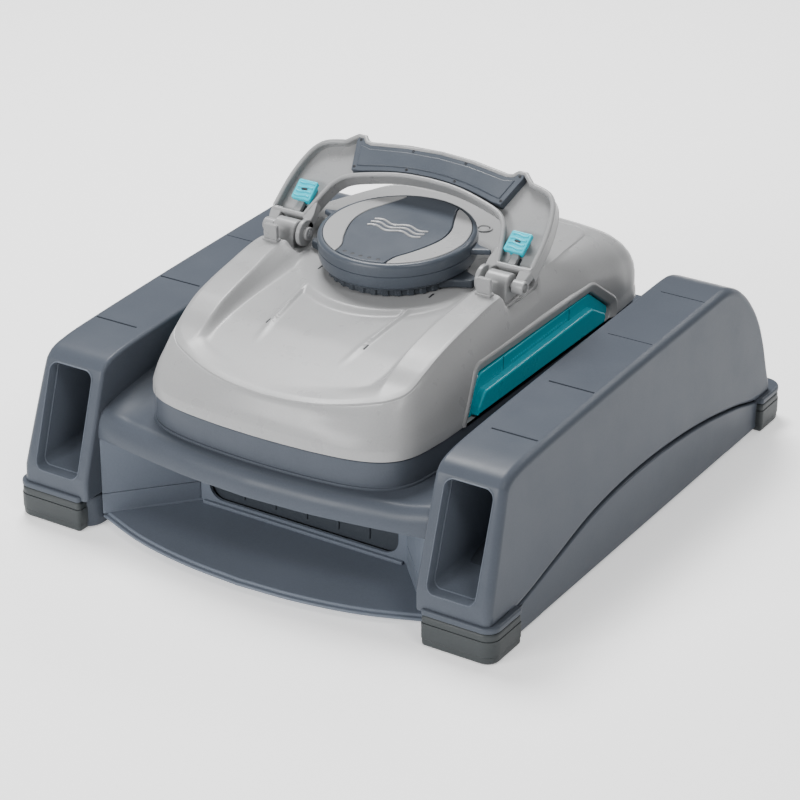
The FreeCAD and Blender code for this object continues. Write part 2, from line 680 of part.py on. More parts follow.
def make_cover():
    """Domed cover shell: steep flanks, a front crease, and a crown that climbs to the rear."""
    base, crease, crown = dim("cover_base"), dim("crease_height"), dim("crown_height")
    skins = []
    for skin, inset in (("outside", Size.of(0)), ("inside", wall)):
        levels = [
            (base - (0 if skin == "outside" else 1), 0.0, 0, 0, 1.0),
            (crease - 16, 1.5, 3, 2, 1.0),
            (crease - inset, 5.0, 8, 8, 1.0),
            (crease + 14 - inset, 13.0, 60, 10, 0.9),
            (crown - 8 - inset, 22.0, 128, 18, 0.7),
            (crown - inset, 36.0, 165, 30, 0.5),
        ]
        sections = []
        for index, (height, pull, front_pull, rear_pull, bow) in enumerate(levels):
            section = doc.addObject("Sketcher::SketchObject", f"cover_{skin}{index}")
            draw(section, cover_outline(inset + pull, front_pull, rear_pull, bow))
            bind(section, "Placement.Base.z", height)
            sections.append(section)
        loft = doc.addObject("Part::Loft", f"cover_{skin}")
        loft.Sections = sections
        loft.Solid = True
        loft.Ruled = True
        skins.append(loft)
    seat = module_frame()
    seat_top = -dim("module_depth") - gap * 2 - dim("ring_depth")
    recess = tilted_disc("seat_recess", seat, 78.5, seat_top, seat_top + 40)
    floor = tilted_disc("seat_floor", seat, 78.5, seat_top - 3, seat_top)
    ring_space = tilted_disc("ring_space", seat, 78.5, seat_top, seat_top + 60)
    seat_hole = tilted_disc("seat_hole", seat, 46, seat_top - 30, seat_top + 40)
    button_hole = rod("button_hole", "z", 165, 200, 4.9, (23.4, 72.0))
    bay_outline = [(-118, 116), (-94, 152.4), (79, 153.4), (115, 127), (108, 116)]
    latch_bays = []
    for side, sign in (("right", 1), ("left", -1)):
        low, high = (113.0, 130.0) if sign > 0 else (-130.0, -113.0)
        latch_bays.append(prism(f"latch_bay_{side}", "YZ", bay_outline, low, high))
    brackets = [doc.getObject(f"hinge_bracket_{side}") for side in ("right", "left")]
    dome = cut("cover_dome", skins[0], skins[1], recess, *latch_bays)
    shoulders = []
    hinge_wells = []
    for side, sign in (("right", 1), ("left", -1)):
        shoulder_x = (84.0, 108.0) if sign > 0 else (-108.0, -84.0)
        shoulders.append(prism(f"shoulder_{side}", "YZ", shoulder_profile(), *shoulder_x))
        well_x = (77.0, 85.5) if sign > 0 else (-85.5, -77.0)
        hinge_wells.append(rod(f"hinge_well_{side}", "x", *well_x, 12, (dim("hinge_y"), dim("hinge_z"))))
    raised = fuse("cover_with_seat", dome, floor, *shoulders)
    shell = cut("cover_pierced", raised, seat_hole, button_hole, *hinge_wells, *brackets, ring_space)
    backs = []
    for side, sign in (("right", 1), ("left", -1)):
        low, high = (110.0, 113.0) if sign > 0 else (-113.0, -110.0)
        backs.append(prism(f"latch_back_{side}", "YZ",
                           [(-121, base), (-96, 155), (81, 156), (118, 129), (111, base)], low, high))
    fuse("top_shell", shell, *backs)

    pan = prism("pan_plate", "XY", cover_outline(Size.of(14.5)), base, base + 2)
    cut("cover_pan", pan, rod("pan_drain", "z", 110, 130, 5, (0, 100)))
    battery = MouldedPiece("battery_pack")
    battery.pad("XY", base + 2, base + 24, rectangle(-52, 52, -165, -95))
    board = MouldedPiece("control_board")
    board.pad("XY", base + 6, base + 7.6, rectangle(-45, 45, 60, 130))
    board.pad("XY", base + 2, base + 6, ("circle", -40, 65, 2.5), ("circle", 40, 65, 2.5),
              ("circle", -40, 125, 2.5), ("circle", 40, 125, 2.5))
    board.pad("XY", base + 7.6, base + 14, rectangle(-20, 8, 75, 100))

    # power button with its return spring on a post from the control board
    button = MouldedPiece("power_button", FreeCAD.Placement(Vector(23.4, 72.0, 0), FreeCAD.Rotation()))
    button.pad("XY", 172, 185.2, ("circle", 0, 0, 4.5))
    button.pad("XY", 170, 172, ("circle", 0, 0, 6.5))
    post = MouldedPiece("button_post", FreeCAD.Placement(Vector(23.4, 72.0, 0), FreeCAD.Rotation()))
    post.pad("XY", base + 7.6, 158, ("circle", 0, 0, 4))
    spring = doc.addObject("Part::Feature", "button_spring")
    turns, wire, coil = 4, 0.5, 3.2
    height = 169.9 - 158.1 - 2 * wire
    helix = Part.makeHelix(height / turns, height, coil)
    section = Part.Wire(Part.makeCircle(wire, Vector(coil, 0, 0), Vector(0, 1, 0)))
    spring.Shape = Part.Wire(helix.Edges).makePipeShell([section], True, True)
    spring.Placement = FreeCAD.Placement(Vector(23.4, 72.0, 158.1 + wire), FreeCAD.Rotation())


def make_side_latches():
    """Coloured latch levers on both flanks of the cover, each on a pin along its top edge."""
    face_outline = [(-112, 119.4), (-90.5, 150), (76, 151), (108, 127), (101, 119.4)]
    ledge_outline = [(-103, 124), (-93, 137.5), (-58, 138.5), (70, 140), (93, 128), (80, 124)]
    inner, face, ledge = 114.8, 120.5, 126.0
    for side, sign in (("right", 1), ("left", -1)):
        spans = [(inner, face), (face, ledge)] if sign > 0 else [(-face, -inner), (-ledge, -face)]
        lever = MouldedPiece(f"side_latch_{side}")
        lever.pad("YZ", *spans[0], face_outline)
        lever.pad("YZ", *spans[1], ledge_outline)
        low, high = (110.5, 119.5) if sign > 0 else (-119.5, -110.5)
        lever.pocket("XZ", -200, 200, ("circle", 117.0 * sign, 146.5, Size.of(1.5) + fit_gap))
        rod(f"latch_pin_{side}", "y", -96.9, 82.5, 1.5, (117.0 * sign, 146.5))


def make_module():
    """Round control module on its toothed locking ring, both on the tilted seat."""
    seat = module_frame()
    radius, depth = dim("module_radius"), dim("module_depth")
    housing = MouldedPiece("module_housing", seat)
    housing.revolve([
        (0, -3), (radius - 9, -3), (radius - 8, -1.6), (radius - 1.5, -2.2), (radius, -5),
        (radius, -11), (radius - 0.8, -11.5), (radius - 0.8, -depth), (radius - 10, -depth),
        (radius - 10, -depth + 3), (40, -depth + 3), (40, -depth - 9), (37, -depth - 9),
        (37, -depth + 3), (30, -depth + 3), (30, -6), (0, -6),
    ])
    for sign in (1, -1):
        low, high = (radius - 3, dim("lug_radius")) if sign > 0 else (-dim("lug_radius"), -radius + 3)
        housing.pad("XY", -15, -5, [(low, 6), (high, 9), (high, 12), (low, 18)])

    cap_radius = radius - 9.6
    cap = MouldedPiece("module_cap", seat)
    cap_half = [(0, -cap_radius), (14, -50.5), (30, -43), (22, -20), (18, 0), (24, 20), (38, 36), (18, 49),
                (0, cap_radius)]
    light_spots = [(x, -40 + abs(x) * 0.12) for x in (-14, -7, 0, 7, 14)]
    cap.pad("XY", -2.8, 0, both_sides(cap_half))
    cap.pocket("XY", -1.2, 1, *[("circle", x, y, 1.3) for x, y in light_spots])
    lights = MouldedPiece("indicator_lights", seat)
    lights.pad("XY", -1.2, -0.3, *[("circle", x, y, 1.25) for x, y in light_spots])
    inlay = MouldedPiece("module_inlay_right", seat)
    crescent = [(31.5, -42), (42, -31), (50, -14), (51.5, 3), (47, 20), (39.5, 34), (25.4, 20), (19.4, 0),
                (23.4, -20)]
    inlay.pad("XY", -2.8, -0.2, crescent)
    mirror("module_inlay_left", inlay.body)
    board = MouldedPiece("module_board", seat)
    board.pad("XY", -11, -9.4, ("circle", 0, 0, 28.5))
    board.pad("XY", -9.4, -6, ("circle", -20, 0, 2), ("circle", 20, 0, 2), ("circle", 0, 20, 2))
    seal = doc.addObject("Part::Torus", "module_seal")
    seal.Radius1 = 42.2
    seal.Radius2 = 1.5
    seal.Placement = seat.multiply(FreeCAD.Placement(Vector(0, 0, -26.6), FreeCAD.Rotation()))

    ring_radius = dim("ring_radius")
    ring_top = -depth - gap
    ring_low = ring_top - dim("ring_depth")
    ring = MouldedPiece("lock_ring", seat)
    ring.pad("XY", ring_low, ring_top, ("circle", 0, 0, ring_radius))
    ring.pad("XY", ring_low + 1, ring_top - 1, rectangle(ring_radius - 2, ring_radius + 2, -2, 2))
    ring.ring_of(1, 36)
    ring.pocket("XY", ring_low - 1, ring_top + 1, ("circle", 0, 0, 45.5))
    for sign in (1, -1):
        low, high = (ring_radius - 3, dim("lug_radius") - 1)
        low, high = (low, high) if sign > 0 else (-high, -low)
        ring.pad("XY", ring_low + 0.5, ring_top - 0.5, [(low, -14), (high, -8), (high, -2), (low, 2)])


def make_handle():
    """U-shaped carrying handle with a two-part grip, on its two hinge brackets."""
    lean = turned_about_x(dim("hinge_y").number, dim("hinge_z").number, dim("handle_tilt").number)
    top, depth = dim("handle_top"), dim("handle_depth")
    low = top - depth
    outer = [(0, 95), (62, 89), (66, 90), (70, 94), (77, 94), (85.5, 86), (100, 83), (111.5, 70),
             (117, 51), (118.6, 28), (118.6, 12)]
    inner = [(87, 12), (80, 37), (76, 46.7), (66, 54.7), (40, 62.7), (0, 67)]
    frame = MouldedPiece("handle_frame", lean)
    frame.pad("XY", low, top, both_sides(outer + inner))
    inner_arm = [(79.5, -3), (83.5, -3), (86, 9.6), (90, 13), (84, 24), (79.5, 16)]
    outer_arm = [(108.6, -3), (116, -3), (118.6, 12), (118.6, 14), (108.6, 14)]
    for sign in (1, -1):
        plate = (79.5, 83.5) if sign > 0 else (-83.5, -79.5)
        boss = (108.6, 118.0) if sign > 0 else (-118.0, -108.6)
        frame.pad("XY", -5, 4, [(x * sign, y) for x, y in inner_arm])
        frame.pad("XY", -5, 4, [(x * sign, y) for x, y in outer_arm])
        frame.pad("YZ", *plate, ("circle", 0, 0, 11))
        frame.pad("YZ", *boss, ("circle", 0, 0, 5.5))
    bore = dim("pin_radius") + fit_gap
    frame.pocket("YZ", -125, 125, ("circle", 0, 0, bore))
    web = [(0, 91), (60, 85.2), (74, 88), (83, 82), (98, 79), (108, 68), (113, 50), (114.6, 26),
           (114.6, 18), (91, 18), (84, 39), (79, 50), (68, 58.6), (41, 66.6), (0, 71)]
    frame.pocket("XY", top - 9, top + 1, both_sides(web))
    grip_half = [(0, 90.4), (60, 84.6), (73, 87.2), (65.5, 61.2), (41, 67.4), (0, 71.6)]
    grip = MouldedPiece("grip_front", lean)
    grip.pad("XY", top - 8.9, top + 1.5, both_sides(grip_half))
    holes = [(sx * x, y) for x, y in ((70, 80), (61, 65.5), (16, 86), (16, 73.5)) for sx in (1, -1)]
    grip.pocket("XY", top - 0.5, top + 3, *[("circle", x, y, 1.9) for x, y in holes])
    screws = MouldedPiece("grip_screws", lean)
    screws.pad("XY", top - 0.5, top + 0.8, *[("circle", x, y, 1.8) for x, y in holes])
    back_half = [(0, 94), (60, 88.2), (66, 86), (63.5, 58.4), (40, 64.6), (0, 69)]
    back = MouldedPiece("grip_back", lean)
    back.pad("XY", low - 2.5, low, both_sides(back_half))

    for sign, side in ((1, "right"), (-1, "left")):
        slider = MouldedPiece(f"lock_slider_{side}", lean)
        near, far = (89.6, 106.4) if sign > 0 else (-106.4, -89.6)
        slider.pad("XY", top - 8.7, top - 1.5, rectangle(near + 3, far - 3, 24, 42))
        slider.pad("XY", top - 1.5, top + 1.6, rectangle(near, far, 25, 43))
        ribs = [rectangle(near + 1.5, far - 1.5, 28 + 4 * index, 29.6 + 4 * index) for index in range(4)]
        slider.pad("XY", top + 1.6, top + 2.6, *ribs)


def make_hull_screws():
    """Screws that join the deck to the tray, in one node."""
    screws = []
    for index, (x, y) in enumerate(((118, -165), (-118, -165), (118, 190), (-118, 190)), start=1):
        screws.append(rod(f"hull_screw{index}", "z", dim("deck_under") - 12, dim("deck_under"), 2.2, (x, y)))
    group("hull_screws", screws)


NODES = [
    "hull_tray", "hull_deck", "cover_seal", "hull_screws", "flap_hinge_pin",
    "pontoon_upper_right", "pontoon_upper_left", "pontoon_lower_right", "pontoon_lower_left",
    "intake_duct_right", "intake_duct_left", "outlet_grille_right", "outlet_grille_left",
    "thruster_motor_right", "thruster_motor_left", "float_foam_right", "float_foam_left",
    "bumper_front_right", "bumper_front_left", "bumper_rear_right", "bumper_rear_left",
    "propeller_right", "propeller_left", "prop_shaft_right", "prop_shaft_left",
    "inlet_flap", "debris_basket", "basket_mesh", "basket_handle",
    "top_shell", "cover_pan", "battery_pack", "control_board", "button_post", "button_spring",
    "power_button", "side_latch_right", "side_latch_left", "latch_pin_right", "latch_pin_left",
    "hinge_bracket_right", "hinge_bracket_left", "hinge_pins",
    "module_housing", "module_cap", "indicator_lights", "module_inlay_right", "module_inlay_left",
    "module_board", "module_seal", "lock_ring",
    "handle_frame", "grip_front", "grip_back", "grip_screws", "lock_slider_right", "lock_slider_left",
]

make_pontoon()
make_propellers()
make_bumpers()
make_tray()
make_deck()
make_flap_and_basket()
make_brackets()
make_cover()
make_side_latches()
make_module()
make_handle()
make_hull_screws()
doc.recompute()

for item in doc.Objects:
    if "Invalid" in item.State or "Error" in item.State:
        raise RuntimeError(f"{item.Name} did not compute: {item.State}")

os.makedirs("parts", exist_ok=True)
for name in NODES:
    node = doc.getObject(name)
    node.Label = name
    shape = node.Shape
    if shape.isNull() or not shape.isValid() or not shape.Solids:
        raise RuntimeError(f"{name} has no valid solid")
    shape.exportStep(f"parts/{name}.step")
    box = shape.BoundBox
    print(f"{name:22s} solids {len(shape.Solids):3d}  x {box.XMin:7.1f} {box.XMax:7.1f}"
          f"  y {box.YMin:7.1f} {box.YMax:7.1f}  z {box.ZMin:6.1f} {box.ZMax:6.1f}")
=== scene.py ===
import json
import math

import bmesh
import bpy
from mathutils import Matrix, Vector

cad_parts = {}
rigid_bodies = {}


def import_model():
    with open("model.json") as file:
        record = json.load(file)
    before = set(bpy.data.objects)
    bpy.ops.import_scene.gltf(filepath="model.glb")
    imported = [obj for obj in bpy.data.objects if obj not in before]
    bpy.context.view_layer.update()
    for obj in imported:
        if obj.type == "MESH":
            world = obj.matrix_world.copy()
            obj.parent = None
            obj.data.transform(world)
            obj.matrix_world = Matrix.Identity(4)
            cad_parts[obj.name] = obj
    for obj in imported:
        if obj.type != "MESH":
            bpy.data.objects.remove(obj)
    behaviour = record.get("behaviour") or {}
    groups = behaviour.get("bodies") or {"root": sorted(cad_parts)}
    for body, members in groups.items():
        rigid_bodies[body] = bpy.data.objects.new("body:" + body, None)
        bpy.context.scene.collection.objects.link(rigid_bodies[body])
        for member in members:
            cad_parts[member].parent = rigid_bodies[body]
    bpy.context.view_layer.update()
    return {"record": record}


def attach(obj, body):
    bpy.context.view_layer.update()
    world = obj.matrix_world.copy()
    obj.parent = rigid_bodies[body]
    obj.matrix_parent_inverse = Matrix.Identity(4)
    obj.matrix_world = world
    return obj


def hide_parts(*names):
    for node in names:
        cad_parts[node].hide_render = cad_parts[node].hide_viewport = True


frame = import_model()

# ---------------------------------------------------------------------------
# Geometry helpers. A shape is (points in mm, faces) until piece() makes it an
# object in metres.
# ---------------------------------------------------------------------------
MM = 0.001
PLANES = {
    "XY": lambda a, b, h: Vector((a, b, h)),
    "XZ": lambda a, b, h: Vector((a, h, b)),
    "YZ": lambda a, b, h: Vector((h, a, b)),
}


def smooth_path(points, steps=6, closed=False):
    """Catmull-Rom curve through points of two or three coordinates."""
    knots = [Vector(p) for p in points]
    count = len(knots)
    path = []
    for i in range(count if closed else count - 1):
        p1, p2 = knots[i], knots[(i + 1) % count]
        p0 = knots[i - 1] if closed or i > 0 else 2 * p1 - p2
        p3 = knots[(i + 2) % count] if closed or i + 2 < count else 2 * p2 - p1
        for k in range(steps):
            t = k / steps
            path.append(0.5 * (2 * p1 + (p2 - p0) * t + (2 * p0 - 5 * p1 + 4 * p2 - p3) * t ** 2
                               + (3 * p1 - p0 - 3 * p2 + p3) * t ** 3))
    if not closed:
        path.append(knots[-1])
    return path


def rounded(points, radius, steps=6):
    """Closed outline with its corners turned into arcs; radius is one number or one per corner."""
    outline = []
    count = len(points)
    for i, point in enumerate(points):
        p = Vector(point)
        size = radius[i] if isinstance(radius, (list, tuple)) else radius
        before, after = Vector(points[i - 1]) - p, Vector(points[(i + 1) % count]) - p
        reach = 0.49 * min(before.length, after.length)
        before.normalize()
        after.normalize()
        half = before.angle(after) / 2
        if size <= 0 or half > math.radians(87):
            outline.append(p)
            continue
        cut = min(size / math.tan(half), reach)
        size = cut * math.tan(half)
        centre = p + (before + after).normalized() * (size / math.sin(half))
        start, end = p + before * cut - centre, p + after * cut - centre
        for k in range(steps + 1):
            outline.append(centre + start.normalized().slerp(end.normalized(), k / steps) * size)
    return outline


def offset(outline, distance):
    """Closed outline moved inward."""
    points = [Vector(p) for p in outline]
    points = [p for i, p in enumerate(points) if (p - points[i - 1]).length > 1e-4]
    area = sum(a.x * b.y - b.x * a.y for a, b in zip(points, points[1:] + points[:1]))
    turn = 1 if area > 0 else -1
    moved = []
    for i, p in enumerate(points):
        into = (p - points[i - 1]).normalized()
        out = (points[(i + 1) % len(points)] - p).normalized()
        n1, n2 = Vector((-into.y, into.x)) * turn, Vector((-out.y, out.x)) * turn
        moved.append(p + (n1 + n2) * (distance / max(0.3, 1 + n1.dot(n2))))
    return moved


def strips(loops, closed=True, cap_first=False, cap_last=False):
    """Quads between loops that have the same number of points."""
    width = len(loops[0])
    points = [Vector(p) for loop in loops for p in loop]
    faces = []
    for row in range(len(loops) - 1):
        for i in range(width if closed else width - 1):
            j = (i + 1) % width
            faces.append((row * width + i, row * width + j, (row + 1) * width + j, (row + 1) * width + i))
    if cap_first:
        faces.append(tuple(range(width)))
    if cap_last:
        faces.append(tuple(range((len(loops) - 1) * width, len(loops) * width)))
    return points, faces


def slab(outline, plane, low, high, edge=1.0, steps=4, edges=None):
    """Solid plate of an outline between two heights, with rolled edges."""
    low_edge, high_edge = edges or (edge, edge)
    base = offset(outline, 0)
    levels = []
    for k in range(steps + 1):
        angle = math.radians(90 * k / steps)
        levels.append((low_edge * (1 - math.sin(angle)), low + low_edge * (1 - math.cos(angle))))
    for k in range(steps, -1, -1):
        angle = math.radians(90 * k / steps)
        levels.append((high_edge * (1 - math.sin(angle)), high - high_edge * (1 - math.cos(angle))))
    place = PLANES[plane]
    loops = [[place(p.x, p.y, height) for p in (offset(base, inset) if inset else base)]
             for inset, height in levels]
    return strips(loops, True, True, True)


def frame_slab(outline, width, plane, low, high, edge=0.6):
    """Plate like slab(), but only a band of the given width along the outline."""
    place = PLANES[plane]
    section = [(0, low), (0, high - edge), (edge * 0.3, high - edge * 0.3), (edge, high),
               (width - edge, high), (width - edge * 0.3, high - edge * 0.3), (width, high - edge),
               (width, low)]
    base = offset(outline, 0)
    loops = [[place(p.x, p.y, height) for p in offset(base, inset)] for inset, height in section]
    points, faces = strips(loops + [loops[0]])
    return points, faces


def tube(path, radius, sides=12, closed=False):
    """Round bar along a path of 3-D points, with domed ends."""
    path = [Vector(p) for p in path]
    count = len(path)
    loops = []
    normal = None
    for i, p in enumerate(path):
        before = path[i - 1] if closed or i else p
        after = path[(i + 1) % count] if closed or i < count - 1 else p
        ahead = (after - before).normalized()
        if normal is None:
            normal = ahead.orthogonal().normalized()
        normal = (normal - ahead * normal.dot(ahead)).normalized()
        side = ahead.cross(normal)
        loops.append([p + (normal * math.cos(a) + side * math.sin(a)) * radius
                      for a in (2 * math.pi * k / sides for k in range(sides))])
    if closed:
        return strips(loops + [loops[0]])
    for end, beyond in ((0, path[0] - path[1]), (-1, path[-1] - path[-2])):
        step = beyond.normalized() * radius * 0.35
        ring = [path[end] + (q - path[end]) * 0.72 + step for q in loops[end]]
        if end == 0:
            loops.insert(0, ring)
        else:
            loops.append(ring)
    return strips(loops, True, True, True)


def lathe(profile, steps=96, axis="z"):
    """Solid of revolution of (radius, height) points."""
    loops = []
    for radius, height in profile:
        ring = []
        for k in range(steps):
            angle = 2 * math.pi * k / steps
            a, b = radius * math.cos(angle), radius * math.sin(angle)
            ring.append({"z": (a, b, height), "x": (height, a, b), "y": (a, height, b)}[axis])
        loops.append(ring)
    return strips(loops, True, True, True)


def circle(radius, x=0.0, y=0.0, steps=32):
    return [(x + radius * math.cos(2 * math.pi * k / steps), y + radius * math.sin(2 * math.pi * k / steps))
            for k in range(steps)]


def arc(radius, start, end, steps=16):
    """Points at degrees measured from +X."""
    return [(radius * math.cos(math.radians(start + (end - start) * k / steps)),
             radius * math.sin(math.radians(start + (end - start) * k / steps))) for k in range(steps + 1)]


def rect(left, low, right, high):
    """Outline of a rectangle."""
    return [(left, low), (right, low), (right, high), (left, high)]


def curved(points, steps):
    """Smooth open curve as plain tuples."""
    return [tuple(p) for p in smooth_path(points, steps)]


def both_sides(half):
    """Closed outline from its half with x >= 0."""
    return [tuple(p) for p in half] + [(-p[0], p[1]) for p in reversed(half) if abs(p[0]) > 1e-6]


def join(*shapes):
    points, faces = [], []
    for more_points, more_faces in shapes:
        start = len(points)
        points += more_points
        faces += [tuple(start + i for i in face) for face in more_faces]
    return points, faces


def moved(shape, matrix):
    return [matrix @ Vector(p) for p in shape[0]], shape[1]


def flipped(shape):
    """Mirror image in the plane x = 0."""
    return [Vector((-p[0], p[1], p[2])) for p in shape[0]], [tuple(reversed(face)) for face in shape[1]]


def raw_object(name, shape):
    if max(max(face) for face in shape[1]) >= len(shape[0]):
        raise ValueError(f"{name} has a face with a missing point")
    mesh = bpy.data.meshes.new(name)
    mesh.from_pydata([Vector(p) * MM for p in shape[0]], [], shape[1])
    work = bmesh.new()
    work.from_mesh(mesh)
    bmesh.ops.remove_doubles(work, verts=work.verts, dist=1e-7)
    bmesh.ops.recalc_face_normals(work, faces=work.faces)
    work.to_mesh(mesh)
    work.free()
    thing = bpy.data.objects.new(name, mesh)
    bpy.context.scene.collection.objects.link(thing)
    return thing


def subtract(shape, *cutters, thickness=0.0):
    """Boolean difference, after an optional wall thickness towards the inside."""
    body = raw_object("work_body", shape)
    tools = [raw_object(f"work_tool{i}", cutter) for i, cutter in enumerate(cutters)]
    if thickness:
        wall = body.modifiers.new("wall", "SOLIDIFY")
        wall.thickness = thickness * MM
        wall.offset = -1
    for tool in tools:
        step = body.modifiers.new("cut", "BOOLEAN")
        step.operation = "DIFFERENCE"
        step.solver = "EXACT"
        step.object = tool
    bpy.context.view_layer.update()
    mesh = bpy.data.meshes.new_from_object(body.evaluated_get(bpy.context.evaluated_depsgraph_get()))
    result = [v.co / MM for v in mesh.vertices], [tuple(face.vertices) for face in mesh.polygons]
    bpy.data.meshes.remove(mesh)
    for thing in [body, *tools]:
        data = thing.data
        bpy.data.objects.remove(thing)
        bpy.data.meshes.remove(data)
    return result


def piece(name, shape, body, material, replaces=(), sharp=35, weighted=True):
    """Finished object that rides on a body and may stand for CAD nodes."""
    thing = raw_object(name, shape)
    thing.data.materials.append(material)
    thing.data.shade_smooth()
    thing.data.set_sharp_from_angle(angle=math.radians(sharp))
    if weighted:
        even = thing.modifiers.new("even", "WEIGHTED_NORMAL")
        even.keep_sharp = True
    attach(thing, body)
    if replaces:
        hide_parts(*replaces)
    return thing


def pair(name, shape, body, material, replaces=(), sharp=35, weighted=True):
    """A right-hand piece and its mirror image; names of bodies and nodes get the side."""
    for side, form in (("right", shape), ("left", flipped(shape))):
        own_body = f"{body}_{side}" if f"{body}_{side}" in BODIES else body
        own_nodes = [f"{node}_{side}" if f"{node}_{side}" in NODES else node for node in replaces]
        piece(f"{name}_{side}", form, own_body, material, own_nodes, sharp, weighted)


class Curve:
    """Smooth function through (x, value) points without overshoot."""

    def __init__(self, *points):
        self.x = [p[0] for p in points]
        self.y = [p[1] for p in points]
        slopes = [(self.y[i + 1] - self.y[i]) / (self.x[i + 1] - self.x[i]) for i in range(len(points) - 1)]
        inner = [0.0 if a * b <= 0 else 2 * a * b / (a + b) for a, b in zip(slopes, slopes[1:])]
        self.slope = [slopes[0], *inner, slopes[-1]]

    def __call__(self, x):
        x = min(max(x, self.x[0]), self.x[-1])
        i = 0
        while i < len(self.x) - 2 and x > self.x[i + 1]:
            i += 1
        width = self.x[i + 1] - self.x[i]
        t = (x - self.x[i]) / width
        return ((1 + 2 * t) * (1 - t) ** 2 * self.y[i] + t * (1 - t) ** 2 * width * self.slope[i]
                + t * t * (3 - 2 * t) * self.y[i + 1] + t * t * (t - 1) * width * self.slope[i + 1])


def ramp(low, high, x):
    t = min(max((x - low) / (high - low), 0.0), 1.0)
    return t * t * (3 - 2 * t)


BODIES = set(frame["record"]["behaviour"]["bodies"])
NODES = {node for nodes in frame["record"]["behaviour"]["bodies"].values() for node in nodes}


# ---------------------------------------------------------------------------
# Materials
# ---------------------------------------------------------------------------
def moulded(name, colour, roughness=0.45, grain=0.35, grain_size=0.9, wear=0.10, metallic=0.0, drift=0.05,
            coat=0.0, gloss=0.36, ior=1.46):
    """Moulded surface: slow colour drift, fine grain in the bump, rubbed edges."""
    material = bpy.data.materials.new(name)
    material.use_nodes = True
    nodes, links = material.node_tree.nodes, material.node_tree.links
    nodes.clear()
    output = nodes.new("ShaderNodeOutputMaterial")
    shader = nodes.new("ShaderNodeBsdfPrincipled")
    links.new(shader.outputs["BSDF"], output.inputs["Surface"])
    where = nodes.new("ShaderNodeTexCoord")

    def noise(scale, detail=3.0, rough=0.5):
        node = nodes.new("ShaderNodeTexNoise")
        node.inputs["Scale"].default_value = scale
        node.inputs["Detail"].default_value = detail
        node.inputs["Roughness"].default_value = rough
        links.new(where.outputs["Object"], node.inputs["Vector"])
        return node.outputs["Fac"]

    def spread(value, low, high, out_low, out_high):
        node = nodes.new("ShaderNodeMapRange")
        limits = (("From Min", low), ("From Max", high), ("To Min", out_low), ("To Max", out_high))
        for socket, number in limits:
            node.inputs[socket].default_value = number
        links.new(value, node.inputs["Value"])
        return node.outputs["Result"]

    def blend(factor, first, second, mode="MIX"):
        node = nodes.new("ShaderNodeMix")
        node.data_type = "RGBA"
        node.blend_type = mode
        links.new(factor, node.inputs["Factor"])
        for socket, value in ((node.inputs["A"], first), (node.inputs["B"], second)):
            if isinstance(value, tuple):
                socket.default_value = (*value, 1.0)
            else:
                links.new(value, socket)
        return node.outputs["Result"]

    darker = tuple(c * (1 - drift) for c in colour)
    lighter = tuple(min(1.0, c * (1 + drift)) for c in colour)
    base = blend(spread(noise(9.0, 4.0), 0.3, 0.7, 0.0, 1.0), darker, lighter)
    speck = spread(noise(700.0, 2.0), 0.35, 0.65, 0.0, 0.35)
    base = blend(speck, base, tuple(min(1.0, c * 1.12 + 0.003) for c in colour))
    geometry = nodes.new("ShaderNodeNewGeometry")
    edge = spread(geometry.outputs["Pointiness"], 0.52, 0.60, 0.0, wear)
    rubbed = nodes.new("ShaderNodeMath")
    rubbed.operation = "MULTIPLY"
    links.new(edge, rubbed.inputs[0])
    links.new(spread(noise(60.0, 5.0, 0.6), 0.35, 0.6, 0.25, 1.0), rubbed.inputs[1])
    base = blend(rubbed.outputs[0], base, tuple(min(1.0, c * 1.5 + 0.05) for c in colour))
    links.new(base, shader.inputs["Base Color"])
    rough = spread(noise(35.0, 5.0, 0.6), 0.3, 0.7, roughness - 0.05, roughness + 0.06)
    links.new(rough, shader.inputs["Roughness"])
    shader.inputs["Metallic"].default_value = metallic
    shader.inputs["IOR"].default_value = ior
    shader.inputs["Specular IOR Level"].default_value = gloss
    shader.inputs["Coat Weight"].default_value = coat
    shader.inputs["Coat Roughness"].default_value = 0.25
    bump = nodes.new("ShaderNodeBump")
    bump.inputs["Strength"].default_value = grain
    bump.inputs["Distance"].default_value = 0.00012
    links.new(noise(1000.0 / grain_size, 2.0, 0.55), bump.inputs["Height"])
    links.new(bump.outputs["Normal"], shader.inputs["Normal"])
    return material


SLATE = moulded("plastic_slate", (0.060, 0.069, 0.085), roughness=0.33, grain=0.30, gloss=0.9, ior=1.15)
# Lighter copies of the slate plastic with painted light: the scoop tray and the duct lining are lightened to
# stand in for light that reaches into the mouth and the duct.
TRAY_SLATE_PAINTED_LIGHT = moulded("plastic_tray", (0.116, 0.134, 0.165), roughness=0.36, grain=0.30, gloss=0.9, ior=1.15)
DUCT_SLATE_PAINTED_LIGHT = moulded("plastic_duct", (0.090, 0.104, 0.128), roughness=0.40, grain=0.30, gloss=0.9, ior=1.15)
DARK_SLATE = moulded("plastic_dark_slate", (0.030, 0.036, 0.045), roughness=0.42, grain=0.3)
MODULE = moulded("plastic_module", (0.052, 0.062, 0.078), roughness=0.33, grain=0.30)
SHELL = moulded("plastic_shell", (0.285, 0.287, 0.290), roughness=0.30, grain=0.20, drift=0.03)
HANDLE = moulded("plastic_handle", (0.255, 0.257, 0.260), roughness=0.30, grain=0.20, drift=0.03)
TEAL = moulded("plastic_teal", (0.001, 0.330, 0.410), roughness=0.30, grain=0.2)
BRIGHT_TEAL = moulded("plastic_bright_teal", (0.000, 0.480, 0.600), roughness=0.30, grain=0.2)
RUBBER = moulded("rubber_bumper", (0.030, 0.035, 0.037), roughness=0.50, grain=0.5, grain_size=0.7)
SEAL = moulded("rubber_seal", (0.012, 0.013, 0.015), roughness=0.70, grain=0.5)
DARK = moulded("plastic_dark", (0.016, 0.018, 0.022), roughness=0.50)
STEEL = moulded("steel_turned", (0.46, 0.46, 0.47), roughness=0.32, grain=0.15, metallic=1.0, drift=0.04)
